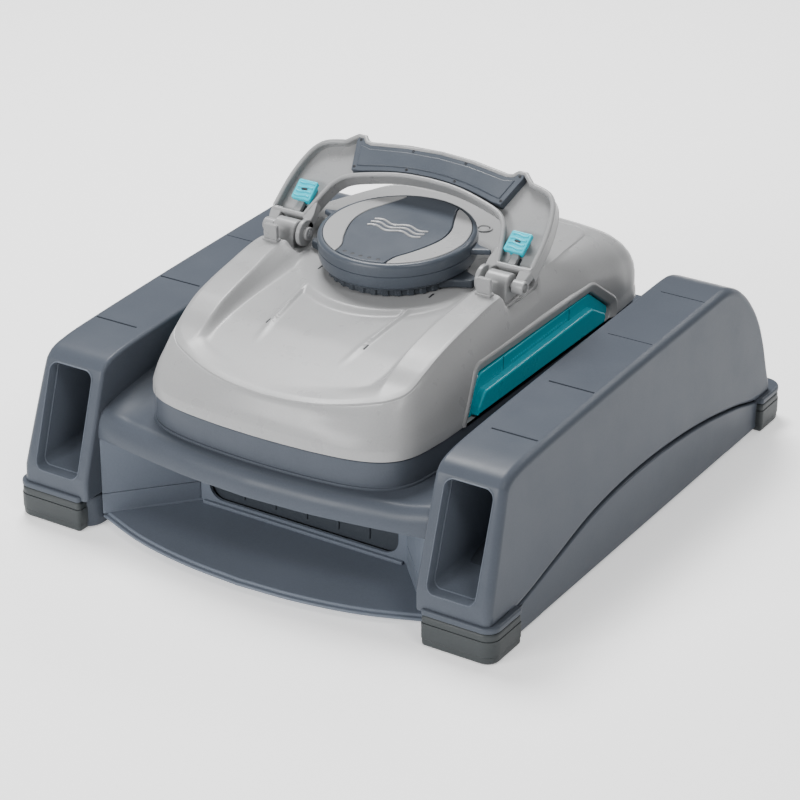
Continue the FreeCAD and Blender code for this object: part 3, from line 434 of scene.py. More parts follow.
MOTOR = moulded("motor_can", (0.30, 0.30, 0.31), roughness=0.38, metallic=0.9)
BOARD = moulded("board_green", (0.02, 0.11, 0.05), roughness=0.45)
LAMP = moulded("lamp_smoked", (0.012, 0.015, 0.020), roughness=0.15, grain=0.05, coat=0.6)
FOAM = moulded("foam_closed", (0.70, 0.70, 0.68), roughness=0.85, grain=0.9, grain_size=2.0)
MESH = moulded("mesh_black", (0.018, 0.020, 0.022), roughness=0.6, grain=0.8)

FINISH = {
    "hull_slate": SLATE, "dark_plastic": DARK, "shell_grey": SHELL, "module_slate": MODULE, "teal": TEAL,
    "bumper_rubber": RUBBER, "seal_rubber": SEAL, "steel": STEEL, "motor_case": MOTOR,
    "circuit_board": BOARD, "indicator": LAMP, "foam": FOAM, "basket_mesh": MESH,
}
SLOT_OF = {entry["node"]: entry["material_slot"] for entry in frame["record"]["subparts"]}
for thing in list(bpy.context.scene.objects):
    if thing.type == "MESH" and thing.name in SLOT_OF:
        for place in thing.material_slots:
            place.material = FINISH[SLOT_OF[thing.name]]

# ---------------------------------------------------------------------------
# Driving dimensions in mm, in the frame of the part
# ---------------------------------------------------------------------------
COVER_FOOT = 118.6
SHELL_WALL = 2.4
MODULE_Y = -19.6
BUTTON = (23.4, 72)
HINGE_Y, HINGE_Z = -27, 194
HINGE_FLOOR = 182.6
PONTOON_INNER = 148
PONTOON_SPLIT = 27
FRONT_FOOT_Y = -230.4
DUCT_X, DUCT_Z, DUCT_R = 178, 78, 18
DECK_TOP, DECK_LOW, DECK_REAR = 95, 75.2, 204
MODULE_R, CAP_R = 62.2, 57.6
to_button = Matrix.Translation((*BUTTON, 0))
to_hinge = Matrix.Translation((0, HINGE_Y, HINGE_Z))

# ---------------------------------------------------------------------------
# Top shell: flank, crease, crown with two raised shoulders
# ---------------------------------------------------------------------------
valley = Curve((-216, 147), (-205, 150), (-151, 164.4), (-132, 168.7), (-52, 179.5), (-20, 183),
               (60, 185.3), (100, 184.6), (127, 183), (150, 182))
shoulder = Curve((-216, 150), (-205, 152.4), (-187, 157), (-168, 163.6), (-150, 172.4), (-132, 179.2),
                 (-92, 187.5), (-51, 193), (8, 193), (43, 191), (88, 187), (121, 183.5), (150, 182))
shoulder_foot = Curve((-216, 0), (-200, 10), (-187, 40), (-168, 74), (-150, 77), (-121, 76.5), (-77, 74),
                      (-22, 72), (40, 73), (90, 77), (121, 72), (150, 60))
shoulder_crest = Curve((-216, 100), (-187, 88), (-168, 82), (-133, 82.8), (-97, 84.2), (-56, 87), (45, 87),
                       (90, 86), (121, 82), (150, 80))
RIB_START, RIB_LENGTH, RIB_SIZE = -151, 99.4, 1.7
SEAT_HEIGHT, SEAT_SLOPE, SEAT_RADIUS, SEAT_RIM = 183.2, 0.0699, 72, 80


def soft_min(a, b, blend):
    """Smaller of two numbers, rounded where they are closer than blend."""
    near = max(blend - abs(a - b), 0.0) / blend
    return min(a, b) - near * near * blend / 4


def open_crown(x, y):
    """Height of the top surface without the hinge pockets."""
    side = abs(x)
    foot, crest_x = shoulder_foot(y), shoulder_crest(y)
    slope = (side - foot) / (crest_x - foot)
    climb = soft_min(-soft_min(-slope, 0.0, 0.36), 1.0, 0.10)
    height = valley(y) + climb * (shoulder(y) - valley(y))
    # thin ribs that run back from the front slots
    along = (y - RIB_START) / RIB_LENGTH
    if along < 1.02:
        rib = 39 + 9.5 * along
        height += RIB_SIZE * math.exp(-((side - rib) / RIB_SIZE) ** 2) * ramp(-0.12, 0.35, along)
    # seat of the module
    reach = math.hypot(x, y - MODULE_Y)
    seat_height = SEAT_HEIGHT + SEAT_SLOPE * (y - MODULE_Y)
    return height + (seat_height - height) * (1 - ramp(SEAT_RADIUS, SEAT_RIM, reach))


def crown(x, y):
    """Height of the top surface with the hinge pockets."""
    height = open_crown(x, y)
    pocket = ramp(-45, -41, y) * (1 - ramp(4, 8.5, y)) * ramp(75, 78, abs(x))
    return height + (min(height, HINGE_FLOOR) - height) * pocket


def whole_loop(half, steps=13):
    """Smooth closed loop from its half with x >= 0."""
    loop = [Vector(p) for p in half]
    loop += [Vector((-p.x, p.y)) for p in reversed(loop[1:-1])]
    return smooth_path(loop, steps, closed=True)


crease = whole_loop([(0, -205), (45, -200.5), (82, -187), (97, -177.5), (104, -167), (106.6, -150),
                     (107.6, -132), (108.2, -92), (108.6, -51), (108.6, 0), (107, 30), (102, 62), (97, 92),
                     (92, 112), (82, 121.5), (60, 124), (30, 126), (0, 127)])
base = whole_loop([(0, -215), (45, -213.2), (81, -208), (104, -197.5), (116, -180), (120.5, -150),
                   (121.3, -132), (122, -92), (122.2, -51), (122.3, 0), (122.2, 30), (122, 66), (121.6, 104),
                   (120.6, 134), (116, 158), (94, 171.5), (50, 176), (0, 177)])
LOW_EDGE = 126.4
FLANK_START = LOW_EDGE + 1.2
FLANK_LEVELS = (0, 0.06, 0.14, 0.24, 0.36, 0.5, 0.64, 0.78, 0.88, 0.95)
side_part = Curve((0, 0.03), (0.12, 0.10), (0.35, 0.27), (0.55, 0.48), (0.78, 0.71), (0.9, 0.87), (1, 1))
rear_part = Curve((0, 0.02), (0.25, 0.03), (0.5, 0.12), (0.78, 0.42), (0.92, 0.72), (1, 1))


def flank_row(level):
    """Loop of the flank at a level from 0 at the low edge to 1 at the crease."""
    row = []
    for low, high in zip(base, crease):
        rear = ramp(10, 80, low.y)
        spot = low.lerp(high, side_part(level) * (1 - rear) + rear_part(level) * rear)
        height = FLANK_START + (open_crown(high.x, high.y) - 0.4 - FLANK_START) * level
        row.append((spot.x, spot.y, min(height, crown(high.x, high.y) - 2.2)))
    return row


def rolled_row(part, drop):
    """Loop of the rounded crease, a drop below the crown."""
    row = []
    for low, high in zip(base, crease):
        spot = low.lerp(high, part)
        row.append((spot.x, spot.y, crown(high.x, high.y) - 0.3 - drop * 0.75))
    return row


def crown_row(share):
    """Loop of the crown, at a share of the way from the crease to a circle under the module."""
    centre = Vector((0, MODULE_Y))
    row = []
    for high in crease:
        inner = centre + (high - centre).normalized() * 46
        spot = high.lerp(inner, 0.018 + 0.982 * share)
        row.append((spot.x, spot.y, crown(spot.x, spot.y)))
    return row


low_edge = [low.lerp(high, 0.008) for low, high in zip(base, crease)]
flank_loops = [[(p.x, p.y, COVER_FOOT) for p in base],
               [(p.x, p.y, COVER_FOOT + 0.8) for p in offset(base, -0.1)],
               [(p.x, p.y, LOW_EDGE) for p in low_edge]]
flank_loops += [flank_row(level) for level in FLANK_LEVELS]
shell_loops = flank_loops + [rolled_row(*roll) for roll in ((0.965, 2.4), (0.988, 1.2), (1.004, 0.4))]
CROWN_RINGS = 92
shell_loops += [crown_row(k / CROWN_RINGS) for k in range(1, CROWN_RINGS + 1)]

face_outline = rounded([(-113, 118.8), (-108.5, 125), (-91, 149), (75.5, 150.6), (108.5, 126.5),
                        (103, 118.8)], [1, 4, 6, 7, 6, 1])
opening = offset(face_outline, -0.9)
button_hole = moved(lathe([(5.2, 170), (5.2, 195)], 32), to_button)
latch_cutter = slab(offset(opening, -6.0), "YZ", 112.5, 135, 0.01, 1)
shell = subtract(strips(shell_loops), latch_cutter, flipped(latch_cutter), button_hole, thickness=SHELL_WALL)
piece("shell_crown", shell, "top_cover", SHELL, ["top_shell"], sharp=38, weighted=False)
ring_points, ring_faces = lathe([(5.0, 184.6), (5.0, 186.2), (5.6, 186.7), (6.6, 186.5), (7.2, 185.6),
                                 (7.2, 184.6)], 40)
collar_ring = moved((ring_points, ring_faces[:-2]), to_button)
piece("button_collar", collar_ring, "top_cover", SHELL, weighted=False)
button_cap = lathe([(0.2, 170.6), (6.3, 170.6), (6.3, 172), (4.5, 172), (4.5, 185.4), (3.9, 186.1),
                    (2.6, 186.4), (0.2, 186.2)], 40)
piece("button_cap", moved(button_cap, to_button), "power_button", SHELL, ["power_button"],
      weighted=False)

# ---------------------------------------------------------------------------
# Bezel round the latch opening: a ridge on the flank, then a slope down to the lever
# ---------------------------------------------------------------------------
LATCH_FOOT = 118.8
right_loops = [[p for p in loop if p[0] > 88 and -160 < p[1] < 160] for loop in flank_loops]


def flank_x(y, height):
    """Where the right side of the shell stands."""
    line = []
    for loop in right_loops:
        for (x1, y1, z1), (x2, y2, z2) in zip(loop, loop[1:]):
            if min(y1, y2) <= y <= max(y1, y2) and y1 != y2:
                share = (y - y1) / (y2 - y1)
                line.append((z1 + share * (z2 - z1), x1 + share * (x2 - x1)))
                break
    for (low, low_x), (high, high_x) in zip(line, line[1:]):
        if height <= high:
            return low_x + (high_x - low_x) * max(0.0, height - low) / (high - low)
    return line[-1][1]


def bezel_row(grow, bulge):
    """Outline round the opening, grown and raised from the flank."""
    return [Vector((flank_x(p.x, p.y) + bulge, p.x, max(p.y, LATCH_FOOT))) for p in offset(opening, -grow)]


bezel_rows = [bezel_row(*step) for step in ((9.4, -0.9), (8.6, 0.7), (7.9, 1.3), (7.1, 1.4), (6.3, 1.0),
                                            (2.0, -0.7), (1.2, -1.2), (0.4, -2.4))]
bezel_rows.append([Vector((112.8, p.x, max(p.y, LATCH_FOOT))) for p in offset(opening, -0.2)])
back_plate = slab(offset(opening, -2.0), "YZ", 110.5, 113.0, 0.3)
pair("latch_bezel", join(strips(bezel_rows), back_plate), "top_cover", SHELL, sharp=45,
     weighted=False)

# ---------------------------------------------------------------------------
# Side latches
# ---------------------------------------------------------------------------
ledge_outline = rounded([(-104, 120.5), (-101, 127), (-92.5, 137.2), (72, 140.4), (95, 127.5), (92, 120.5)],
                        [1, 3, 5, 7, 5, 1])
lever = join(slab(face_outline, "YZ", 113.6, 117.6, 1.2),
             slab(ledge_outline, "YZ", 117.0, 123.8, edges=(0.1, 1.9)))
pair("latch_lever", lever, "side_latch", TEAL, ["side_latch"])
rod = moved(lathe([(0.1, -96), (1.2, -96), (1.2, 82), (0.1, 82)], 20, "y"),
            Matrix.Translation((115.5, 0, 146.5)))
pair("latch_rod", rod, "top_cover", STEEL, ["latch_pin"])


def latch_tooth(y):
    low = 141.2 + y * 0.012
    high = 142.6 + y * 0.012
    return slab(rounded(rect(y, low, y + 1.6, high), 0.4, 2), "YZ", 117.4, 117.9, 0.15, 2)


teeth = join(*[latch_tooth(-46 + 3.1 * k) for k in range(28)])
pair("latch_teeth", teeth, "side_latch", BRIGHT_TEAL)
seams = [slab(rect(y, 139, y + 0.5, 149.4), "YZ", 117.2, 117.72, 0.05, 1) for y in (-57, 43.5)]
pair("latch_lines", join(*seams), "side_latch", DARK)

# ---------------------------------------------------------------------------
# Pontoons
# ---------------------------------------------------------------------------
top_line = [(FRONT_FOOT_Y, PONTOON_SPLIT), (FRONT_FOOT_Y, 44), (-226.2, 57), (-216.5, 87), (-206.8, 117)]
top_line += curved([(-203.4, 126.5), (-196.5, 132.6), (-184, 136), (-155, 138.6), (-62, 142.4), (29, 145),
                    (116, 147), (140, 147.3), (152, 145.8), (163, 141.8), (175, 135.3), (190, 121.6),
                    (205, 100), (214, 76), (220, 52), (224, 38), (225, PONTOON_SPLIT)], 5)
arch_line = curved([(204, PONTOON_SPLIT), (186, 31.5), (159, 38.5), (104, 48.6), (40, 55), (-22, 56),
                    (-80, 51), (-132, 39.6), (-168, 31), (-189, PONTOON_SPLIT)], 6)


def outer_x(height, inset=0.0):
    """Outer wall of the pontoon: leans in and bows a little."""
    t = (height - PONTOON_SPLIT) / 120
    return 211 - 7.2 * t + 2.2 * t * (1 - t) - inset


def pontoon_solid(outline, edge, lean=True):
    """Pontoon shell of a side outline, its outer edge rolled by edge and its inner one by half of it."""
    base_outline = offset(outline, 0)
    loops = []
    for k in range(6):
        angle = math.radians(90 * k / 5)
        inset, step = edge * 0.5 * (1 - math.sin(angle)), edge * 0.5 * (1 - math.cos(angle))
        loops.append([Vector((PONTOON_INNER + step, p.x, p.y)) for p in offset(base_outline, inset)])
    for k in range(6, -1, -1):
        angle = math.radians(90 * k / 6)
        inset, step = edge * (1 - math.sin(angle)), edge * (1 - math.cos(angle))
        loops.append([Vector((outer_x(p.y, step) if lean else 209.5 - step, p.x, p.y))
                      for p in offset(base_outline, inset)])
    return strips(loops, True, True, True)


def window(grow, y):
    """Rounded window outline of the duct at one depth."""
    lean = ramp(-236, -120, y)
    low, high = 43.4 + 16 * lean - grow, 125 - 18 * lean + grow
    near, far = 157.5 + 3.5 * lean - grow, 197.5 - 3.5 * lean + grow
    return rounded(rect(near, low, far, high), max(1.0, 7 + grow), 6)


def window_loop(grow, depth):
    """Window outline parallel to the leaning front face, pushed in by a depth."""
    return [Vector((p.x, FRONT_FOOT_Y + max(0.0, p.y - 44) * 0.3235 + depth, p.y))
            for p in window(grow, -236 + depth)]


def thrust_loop(radius, y):
    """Round loop with as many points as the window has, in the same order."""
    middle = Vector((177.5, 84))
    ring = []
    for p in window(0, -236):
        away = (Vector((p.x, p.y)) - middle).normalized() * radius
        ring.append(Vector((DUCT_X + away.x, y, DUCT_Z + away.y)))
    return ring


cutter = strips([window_loop(0, depth) for depth in (-8, 0, 14, 40, 80, 125)], True, True, True)
outlet_cutter = moved(lathe([(20.3, 188), (20.3, 240)], 48, "y"), Matrix.Translation((DUCT_X, 0, DUCT_Z)))
grooves = []
for y, z, depth, width in ((-146, 139.2, 4.2, 1.9), (-62.7, 142.4, 4.2, 1.9), (29.1, 145.0, 1.2, 1.0),
                           (115.9, 147.0, 1.2, 1.0)):
    grooves.append(slab(rounded(rect(159.7, y, 198.2, y + width), 0.4, 2), "XY", z - depth, z + 8, 0.05, 1))
skin = subtract(pontoon_solid(top_line + arch_line, 6.4), cutter, outlet_cutter, *grooves)
pair("pontoon_skin", skin, "hull", SLATE, ["pontoon_upper"], sharp=32)

WINDOW_RIM = ((0.9, 0.4), (0.9, -0.1), (0.6, -0.5), (0.2, -0.5), (0.0, -0.1), (-0.1, 0.8), (-0.2, 9),
              (-0.8, 9.5))
liner_rows = [window_loop(grow, depth) for grow, depth in WINDOW_RIM]
mouth_row, throat_row = window_loop(-0.9, 12), thrust_loop(DUCT_R, -80)
liner_rows += [[a.lerp(b, k / 8) for a, b in zip(mouth_row, throat_row)] for k in range(9)]
liner_rows += [thrust_loop(DUCT_R, 60), thrust_loop(DUCT_R, 196)]
# The duct lining uses the lightened slate copy: painted light inside the duct.
pair("duct_liner", strips(liner_rows), "hull", DUCT_SLATE_PAINTED_LIGHT, ["intake_duct"], weighted=False)

SPLIT_GAP = 0.7
lower_outline = offset([(-189, 26.4)] + [(y, z - SPLIT_GAP) for y, z in reversed(arch_line)]
                       + [(204, 3), (-189, 3)], 0)
pair("pontoon_base", pontoon_solid(lower_outline, 1.6, lean=False), "hull", SLATE,
     ["pontoon_lower"], sharp=32)
core = []
for low, high, radii in ((-226.5, -150, [15, 12, 2, 2]), (150, 224, [2, 2, 12, 15])):
    core.append(slab(rounded(rect(PONTOON_INNER, low, 208, high), radii, 8), "XY", 1.2, 26.4, 1.0))
pair("pontoon_core", join(*core), "hull", SLATE)


def corner_pad(inset, low, high, edge, end):
    """Bumper layer at the front or the rear corner."""
    if end == "front":
        plan = [(154.0, -233.6), (215.4, -233.6), (215.4, -191.5), (205, -191.5), (154.0, -212)]
        radii = [3.5, 11, 3, 2, 1]
    else:
        plan = [(155.0, 242.8), (155.0, 222), (205, 201), (215.2, 201), (215.2, 242.8)]
        radii = [3.5, 1, 2, 3, 15]
    return slab(offset(rounded(plan, radii, 8), inset), "XY", low, high, edges=edge)


for end in ("front", "rear"):
    pad = join(corner_pad(0.5, 0.0, 6.2, (2.6, 0.5), end), corner_pad(0, 6.35, 19.2, (0.5, 0.5), end),
               corner_pad(0.5, 19.35, 25.6, (0.5, 2.8), end), corner_pad(2.0, 3, 23, (0.2, 0.2), end))
    pair(f"pad_{end}", pad, "hull", RUBBER, [f"bumper_{end}"])
    pair(f"pad_lip_{end}", corner_pad(0.2, 25.9, 30.4, (0.4, 1.8), end), "hull", SLATE)

# ---------------------------------------------------------------------------
# Deck with the nose over the mouth and the collar under the cover
# ---------------------------------------------------------------------------
deck_front = Curve((0, -231), (50, -228.3), (80, -224.6), (110, -220), (130, -216.6), (148, -213.5))
side_rise = Curve((-215, 0), (-205, 2.0), (-190, 4.6), (-145, 9.5), (-109, 13.5), (0, 14), (205, 14))
NOSE, NOSE_FOOT = 12.5, 77
COLUMNS, DECK_STEPS = 74, 40


def deck_height(x, y):
    """The deck rises towards the pontoons."""
    return DECK_TOP + side_rise(y) * ramp(118, 152, abs(x)) * 1.25


def deck_column(x):
    """Closed section of the deck at one x."""
    front = deck_front(abs(x))
    line = [(x, 203, DECK_LOW), (x, front + 1.6, DECK_LOW), (x, front + 0.5, DECK_LOW + 0.4),
            (x, front, NOSE_FOOT)]
    rise = deck_height(x, front + NOSE) - NOSE_FOOT
    for k in range(1, 8):
        angle = math.radians(90 * k / 7)
        line.append((x, front + NOSE * (1 - math.cos(angle)), NOSE_FOOT + rise * math.sin(angle)))
    for k in range(1, DECK_STEPS + 1):
        y = front + NOSE + (DECK_REAR - front - NOSE) * (k / DECK_STEPS) ** 1.5
        line.append((x, y, deck_height(x, y)))
    line.append((x, DECK_REAR + 1, deck_height(x, DECK_REAR) - 1.5))
    line.append((x, DECK_REAR + 1, DECK_LOW))
    return line


columns = [deck_column(PONTOON_INNER * (2 * k / COLUMNS - 1)) for k in range(COLUMNS + 1)]
deck = strips(columns, True, True, True)
collar = frame_slab(offset(base, 1.6), 2.6, "XY", 90, 117.2, 0.9)
foot_line = frame_slab(base, 4.4, "XY", 90, 97.0, 1.2)
piece("deck_plate", deck, "hull", SLATE, ["hull_deck"], sharp=40)
piece("deck_collar", join(collar, foot_line), "hull", SLATE)

# ---------------------------------------------------------------------------
# Scoop: floor with its bowed lip, slanted cheeks, door frame
# ---------------------------------------------------------------------------
lip_half = curved([(0, -243), (50, -239.6), (100, -229.8), (148, -212)], 8)


def floor_outline(back):
    """Plan of the floor with its lip moved back."""
    half = [(x, y + back * 0.9) for x, y in lip_half]
    return both_sides(half + [(PONTOON_INNER, 199.5), (0, 199.5)])


floor = join(slab(floor_outline(0), "XY", 6.0, 8.6, 1.1),
             slab(floor_outline(3.4), "XY", 8.2, 10.8, edges=(0.1, 1.4)))
cheeks = []
for low, high in ((10.0, 27.2), (27.7, 75.1)):
    plan = [(148, -214.5), (94, -155), (97.5, -152), (148, -196)]
    cheek = slab(rounded(plan, [1, 3, 1, 1], 4), "XY", low, high, 0.5)
    cheeks += [cheek, flipped(cheek)]
core_cheek = slab([(147.5, -212.6), (95, -154), (98, -152.4), (147.5, -200)], "XY", 20, 40, 0.2)
fillet = tube([(147, -211, 11.2), (94.6, -153.6, 11.2)], 2.0, 12)
rail = slab(rect(94, -153, 97, 199.5), "XY", 10, 75, 0.3)
rear = slab(rect(94, 197, 148, 200), "XY", 10, 75, 0.3)
door_plate = slab(rounded(rect(-96, 10.5, 96, 75.1), 0.5, 2), "XZ", -155.5, -152.9, 0.3)
door_hole = slab(rounded(rect(-87, 15.5, 87, 80), [13, 13, 0, 0], 8), "XZ", -160, -145, 0.01, 1)
sill = slab(rounded(rect(-92, -158.6, 92, -152), 1.5, 4), "XY", 10, 13.2, 1.0)
tray = join(floor, *cheeks, core_cheek, flipped(core_cheek), fillet, flipped(fillet), rail, flipped(rail),
            rear, flipped(rear), subtract(door_plate, door_hole), sill)
# The scoop tray uses the lightened slate copy: painted light on the mouth floor and cheeks.
piece("scoop_tray", tray, "hull", TRAY_SLATE_PAINTED_LIGHT, ["hull_tray"])

FLAP_HALF = 87.6
flap_outline = rounded(rect(-FLAP_HALF, 14.8, FLAP_HALF, 72.0), [12, 12, 2, 2], 8)
flap_plate = slab(flap_outline, "XZ", -150.8, -148.4, 0.8)
flap_ribs = [slab(rounded(rect(x, 20, x + 2, 62), 0.9, 3), "XZ", -151.9, -150.6, 0.5)
             for x in (-58, -29, 0, 29, 57)]
flap_tube = lathe([(1.6, -FLAP_HALF), (2.8, -FLAP_HALF), (3.1, -87.0), (3.1, 87.0), (2.8, FLAP_HALF),
                   (1.6, FLAP_HALF)], 32, "x")
flap_tube = moved(flap_tube, Matrix.Translation((0, -149.5, 69)))
flap = join(flap_plate, *flap_ribs, flap_tube)
piece("flap_door", flap, "inlet_flap", DARK_SLATE, ["inlet_flap"])

# ---------------------------------------------------------------------------
# Control module on its tilted seat
# ---------------------------------------------------------------------------
seat = Matrix.Translation((0, MODULE_Y, 213.6)) @ Matrix.Rotation(math.radians(4), 4, "X")
housing_profile = [(MODULE_R - inset, height) for inset, height in (
    (6, -24), (4.2, -23.6), (3.0, -21.8), (1.0, -20.6), (0.4, -18.5), (0.2, -11.2), (0.8, -10.9),
    (0.8, -10.5), (0, -10.1), (0, -4.4), (0.3, -2.8), (1.0, -1.6), (2.0, -0.9), (3.2, -0.6), (4.0, -0.7),
    (4.3, -1.2), (4.6, -1.9))]
housing = lathe([(30, -24), *housing_profile, (20, -2.0)], 128)
fin_upper = slab(rounded([(55, 0), (63, 6.0), (75.4, 11.6), (75.8, 13.6), (64, 16.5), (55, 24)],
                         [0, 8, 0.9, 0.9, 8, 0], 5), "XY", -10.8, -6.2, 1.4)
module_case = moved(join(housing, fin_upper, flipped(fin_upper)), seat)
piece("module_case", module_case, "control_module", MODULE, ["module_housing"], sharp=30,
      weighted=False)
crescent = arc(CAP_R, -66.4, 65.2, 30)
crescent += curved([(25.0, 47.5), (31.4, 33), (38, 18), (40, 2), (37, -13), (30.6, -29), (24.4, -41),
                    (22.9, -49)], 5)
crescent = slab(crescent, "XY", -2.4, -0.1, 0.9)
for side, shape in (("right", crescent), ("left", flipped(crescent))):
    piece(f"module_crescent_{side}", moved(shape, seat), "control_module", SHELL,
          [f"module_inlay_{side}"])
cap_half = [(max(0.0, x), y) for x, y in arc(CAP_R, -90, -68.0, 8)]
cap_half += curved([(21.9, -49), (23.4, -41), (29.6, -29), (36.0, -13), (39.0, 2), (37.0, 18), (30.4, 33),
                    (24.0, 47.5)], 5)
cap_half += [(max(0.0, x), y) for x, y in arc(CAP_R, 66.4, 90, 8)]
cap = slab(both_sides(cap_half), "XY", -2.4, 0.0, 0.9)
piece("module_hourglass", moved(cap, seat), "control_module", MODULE, ["module_cap"])
dot = lathe([(0.1, -0.3), (1.7, -0.3), (1.7, 0.02), (1.4, 0.1), (0.1, 0.1)], 20)
dots = [moved(dot, Matrix.Translation((x, -52.4 + abs(x) * 0.08, 0))) for x in (-15, -7.5, 0, 7.5, 15)]
piece("module_dots", moved(join(*dots), seat), "control_module", DARK, ["indicator_lights"])

WAVE_STEPS, WAVE_HALF, WAVE_RISE = 40, 24, 2.0


def wave(level):
    """Two full waves across the emblem."""
    path = []
    for k in range(WAVE_STEPS + 1):
        share = k / WAVE_STEPS
        rise = WAVE_RISE * math.sin(4 * math.pi * share)
        path.append(Vector((WAVE_HALF * (2 * share - 1), level + rise, 0.15)))
    return tube(path, 0.95, 8)


emblem = join(*[wave(level) for level in (-5.4, 0.0, 5.4)])
piece("module_emblem", moved(emblem, seat), "control_module", SHELL)

TEETH, TOOTH_STEPS = 36, 8
RING_BORE, RING_CREST, RING_ROOT = 46, 56.4, 55.2
RING_TOP, RING_LOW = -21.8, -29.3


def ring_row(inset, height):
    """Toothed outline of the ring, or its bore where inset is None."""
    row = []
    for k in range(TEETH * TOOTH_STEPS):
        angle = 2 * math.pi * k / (TEETH * TOOTH_STEPS)
        outer = RING_CREST if k % TOOTH_STEPS < TOOTH_STEPS / 2 else RING_ROOT
        radius = RING_BORE if inset is None else outer - inset
        row.append((radius * math.cos(angle), radius * math.sin(angle), height))
    return row


ring_rows = [ring_row(*step) for step in (
    (None, RING_LOW), (0, RING_LOW), (0, RING_TOP - 1.2), (0.6, RING_TOP - 0.4), (1.4, RING_TOP),
    (None, RING_TOP), (None, RING_LOW))]
fin_low = slab(rounded([(50, -24), (60, -17), (73, -12), (74.6, -8), (73, -4), (64, 0), (52, 6)],
                       [0, 8, 2, 2, 2, 8, 0], 5), "XY", RING_LOW + 0.4, RING_TOP - 0.2, 1.6)
twist_ring = moved(join(strips(ring_rows), fin_low, flipped(fin_low)), seat)
piece("twist_ring", twist_ring, "lock_ring", DARK_SLATE, ["lock_ring"])

# ---------------------------------------------------------------------------
# Handle, its hinge knuckles and the lock sliders
# ---------------------------------------------------------------------------
HANDLE_LEAN = 37.77
lean = to_hinge @ Matrix.Rotation(math.radians(HANDLE_LEAN), 4, "X")
outer_half = [(0, 95), *curved([(30, 93.6), (62, 89.2)], 4), (66, 90), (69.6, 94), (77, 94),
              *curved([(85.5, 86.4), (100, 82.8), (107.4, 77.6), (112.4, 69), (116.4, 54), (118.4, 36),
                       (118.6, 12)], 5)]
inner_half = curved([(87, 12), (83.6, 25), (79.6, 38), (75.6, 47), (66, 55), (40, 62.6), (20, 66),
                     (0, 67)], 5)
channel = both_sides(outer_half + inner_half)
web = slab(offset(channel, 1.0), "XY", -6.2, -3.4, 0.3, 2)
walls = frame_slab(channel, 2.6, "XY", -9.0, 2.6, 0.8)
rolls = tube([Vector((p.x, p.y, 2.2)) for p in offset(channel, 1.5)], 2.1, 12, closed=True)
low_roll = tube([Vector((p.x, p.y, -8.0)) for p in offset(channel, 1.4)], 1.6, 10, closed=True)


def fork(sign):
    """Two arms, the round plate with its hub, and the open tube boss of one leg."""
    def across(low, high):
        return (low, high) if sign > 0 else (-high, -low)

    inner_arm = [(79.5, 0), (83.5, 0), (86, 9.6), (90, 13), (86, 24), (82, 27), (79.5, 16)]
    outer_arm = [(108.8, -2), (115.5, -2), (118.4, 12), (118.4, 16), (108.6, 16)]
    arms = [slab([(x * sign, y) for x, y in arm], "XY", -4.6, 3.6, 0.9) for arm in (inner_arm, outer_arm)]
    plate = slab(circle(11), "YZ", *across(79.5, 83.5), 1.1)
    hub = slab(circle(5.4), "YZ", *across(76.6, 80.2), 0.9)
    low, high = across(108.6, 118.2)
    boss = lathe([(3.1, low), (5.2, low), (5.5, low + 0.5), (5.5, high - 0.6), (5.1, high), (3.8, high),
                  (3.4, high - 0.5), (3.2, low)], 40, "x")
    return [*arms, plate, hub, boss]


handle = join(web, walls, rolls, low_roll, *fork(1), *fork(-1))
piece("carry_handle", moved(handle, lean), "handle", HANDLE, ["handle_frame"], sharp=40)

grip_outline = both_sides([
    (0, 92.4), *curved([(30, 91), (61, 86.8)], 4), (66, 87.8), (69.6, 91.4), (75.4, 91.4), (76.0, 88),
    (68.2, 61.8), *curved([(60, 62.6), (41, 67.2), (20, 70.4), (0, 71.4)], 4)])
inner_grip = both_sides([
    (0, 88.6), *curved([(30, 87.2), (61, 83)], 4), (70.2, 84.6), (65.2, 66.4),
    *curved([(59.5, 67.2), (41, 71.2), (20, 74.2), (0, 75.2)], 4)])
grip = join(slab(grip_outline, "XY", -4.9, 3.4, edges=(0.2, 0.5)),
            slab(inner_grip, "XY", 3.0, 4.2, edges=(0.1, 0.9)))
piece("grip_panel", moved(grip, lean), "handle", MODULE, ["grip_front"])
rear_half = [(0, 94), (60, 88.2), (66, 86), (63.5, 58.4), (40, 64.6), (0, 69)]
grip_low = slab(both_sides(rear_half), "XY", -11.4, -9.1, 1.1)
piece("grip_rear", moved(grip_low, lean), "handle", MODULE, ["grip_back"])
screw = lathe([(0.1, 3.0), (1.3, 3.0), (1.3, 3.55), (1.0, 3.7), (0.6, 3.65), (0.5, 3.4), (0.1, 3.4)], 20)
screws = [moved(screw, Matrix.Translation((sign * x, y, 0)))
          for x, y in ((72.6, 89.2), (67.0, 65.0), (24, 89.6), (22, 72.4)) for sign in (1, -1)]
piece("grip_bolts", moved(join(*screws), lean), "handle", DARK, ["grip_screws"])


def wavy_rib(y):
    """Rib across the lock slider with one wave in it."""
    path = [Vector((90.5 + 13.4 * k / 16, y + 0.5 * math.sin(2 * math.pi * k / 16), 5.5)) for k in range(17)]
    return tube(path, 0.75, 8)


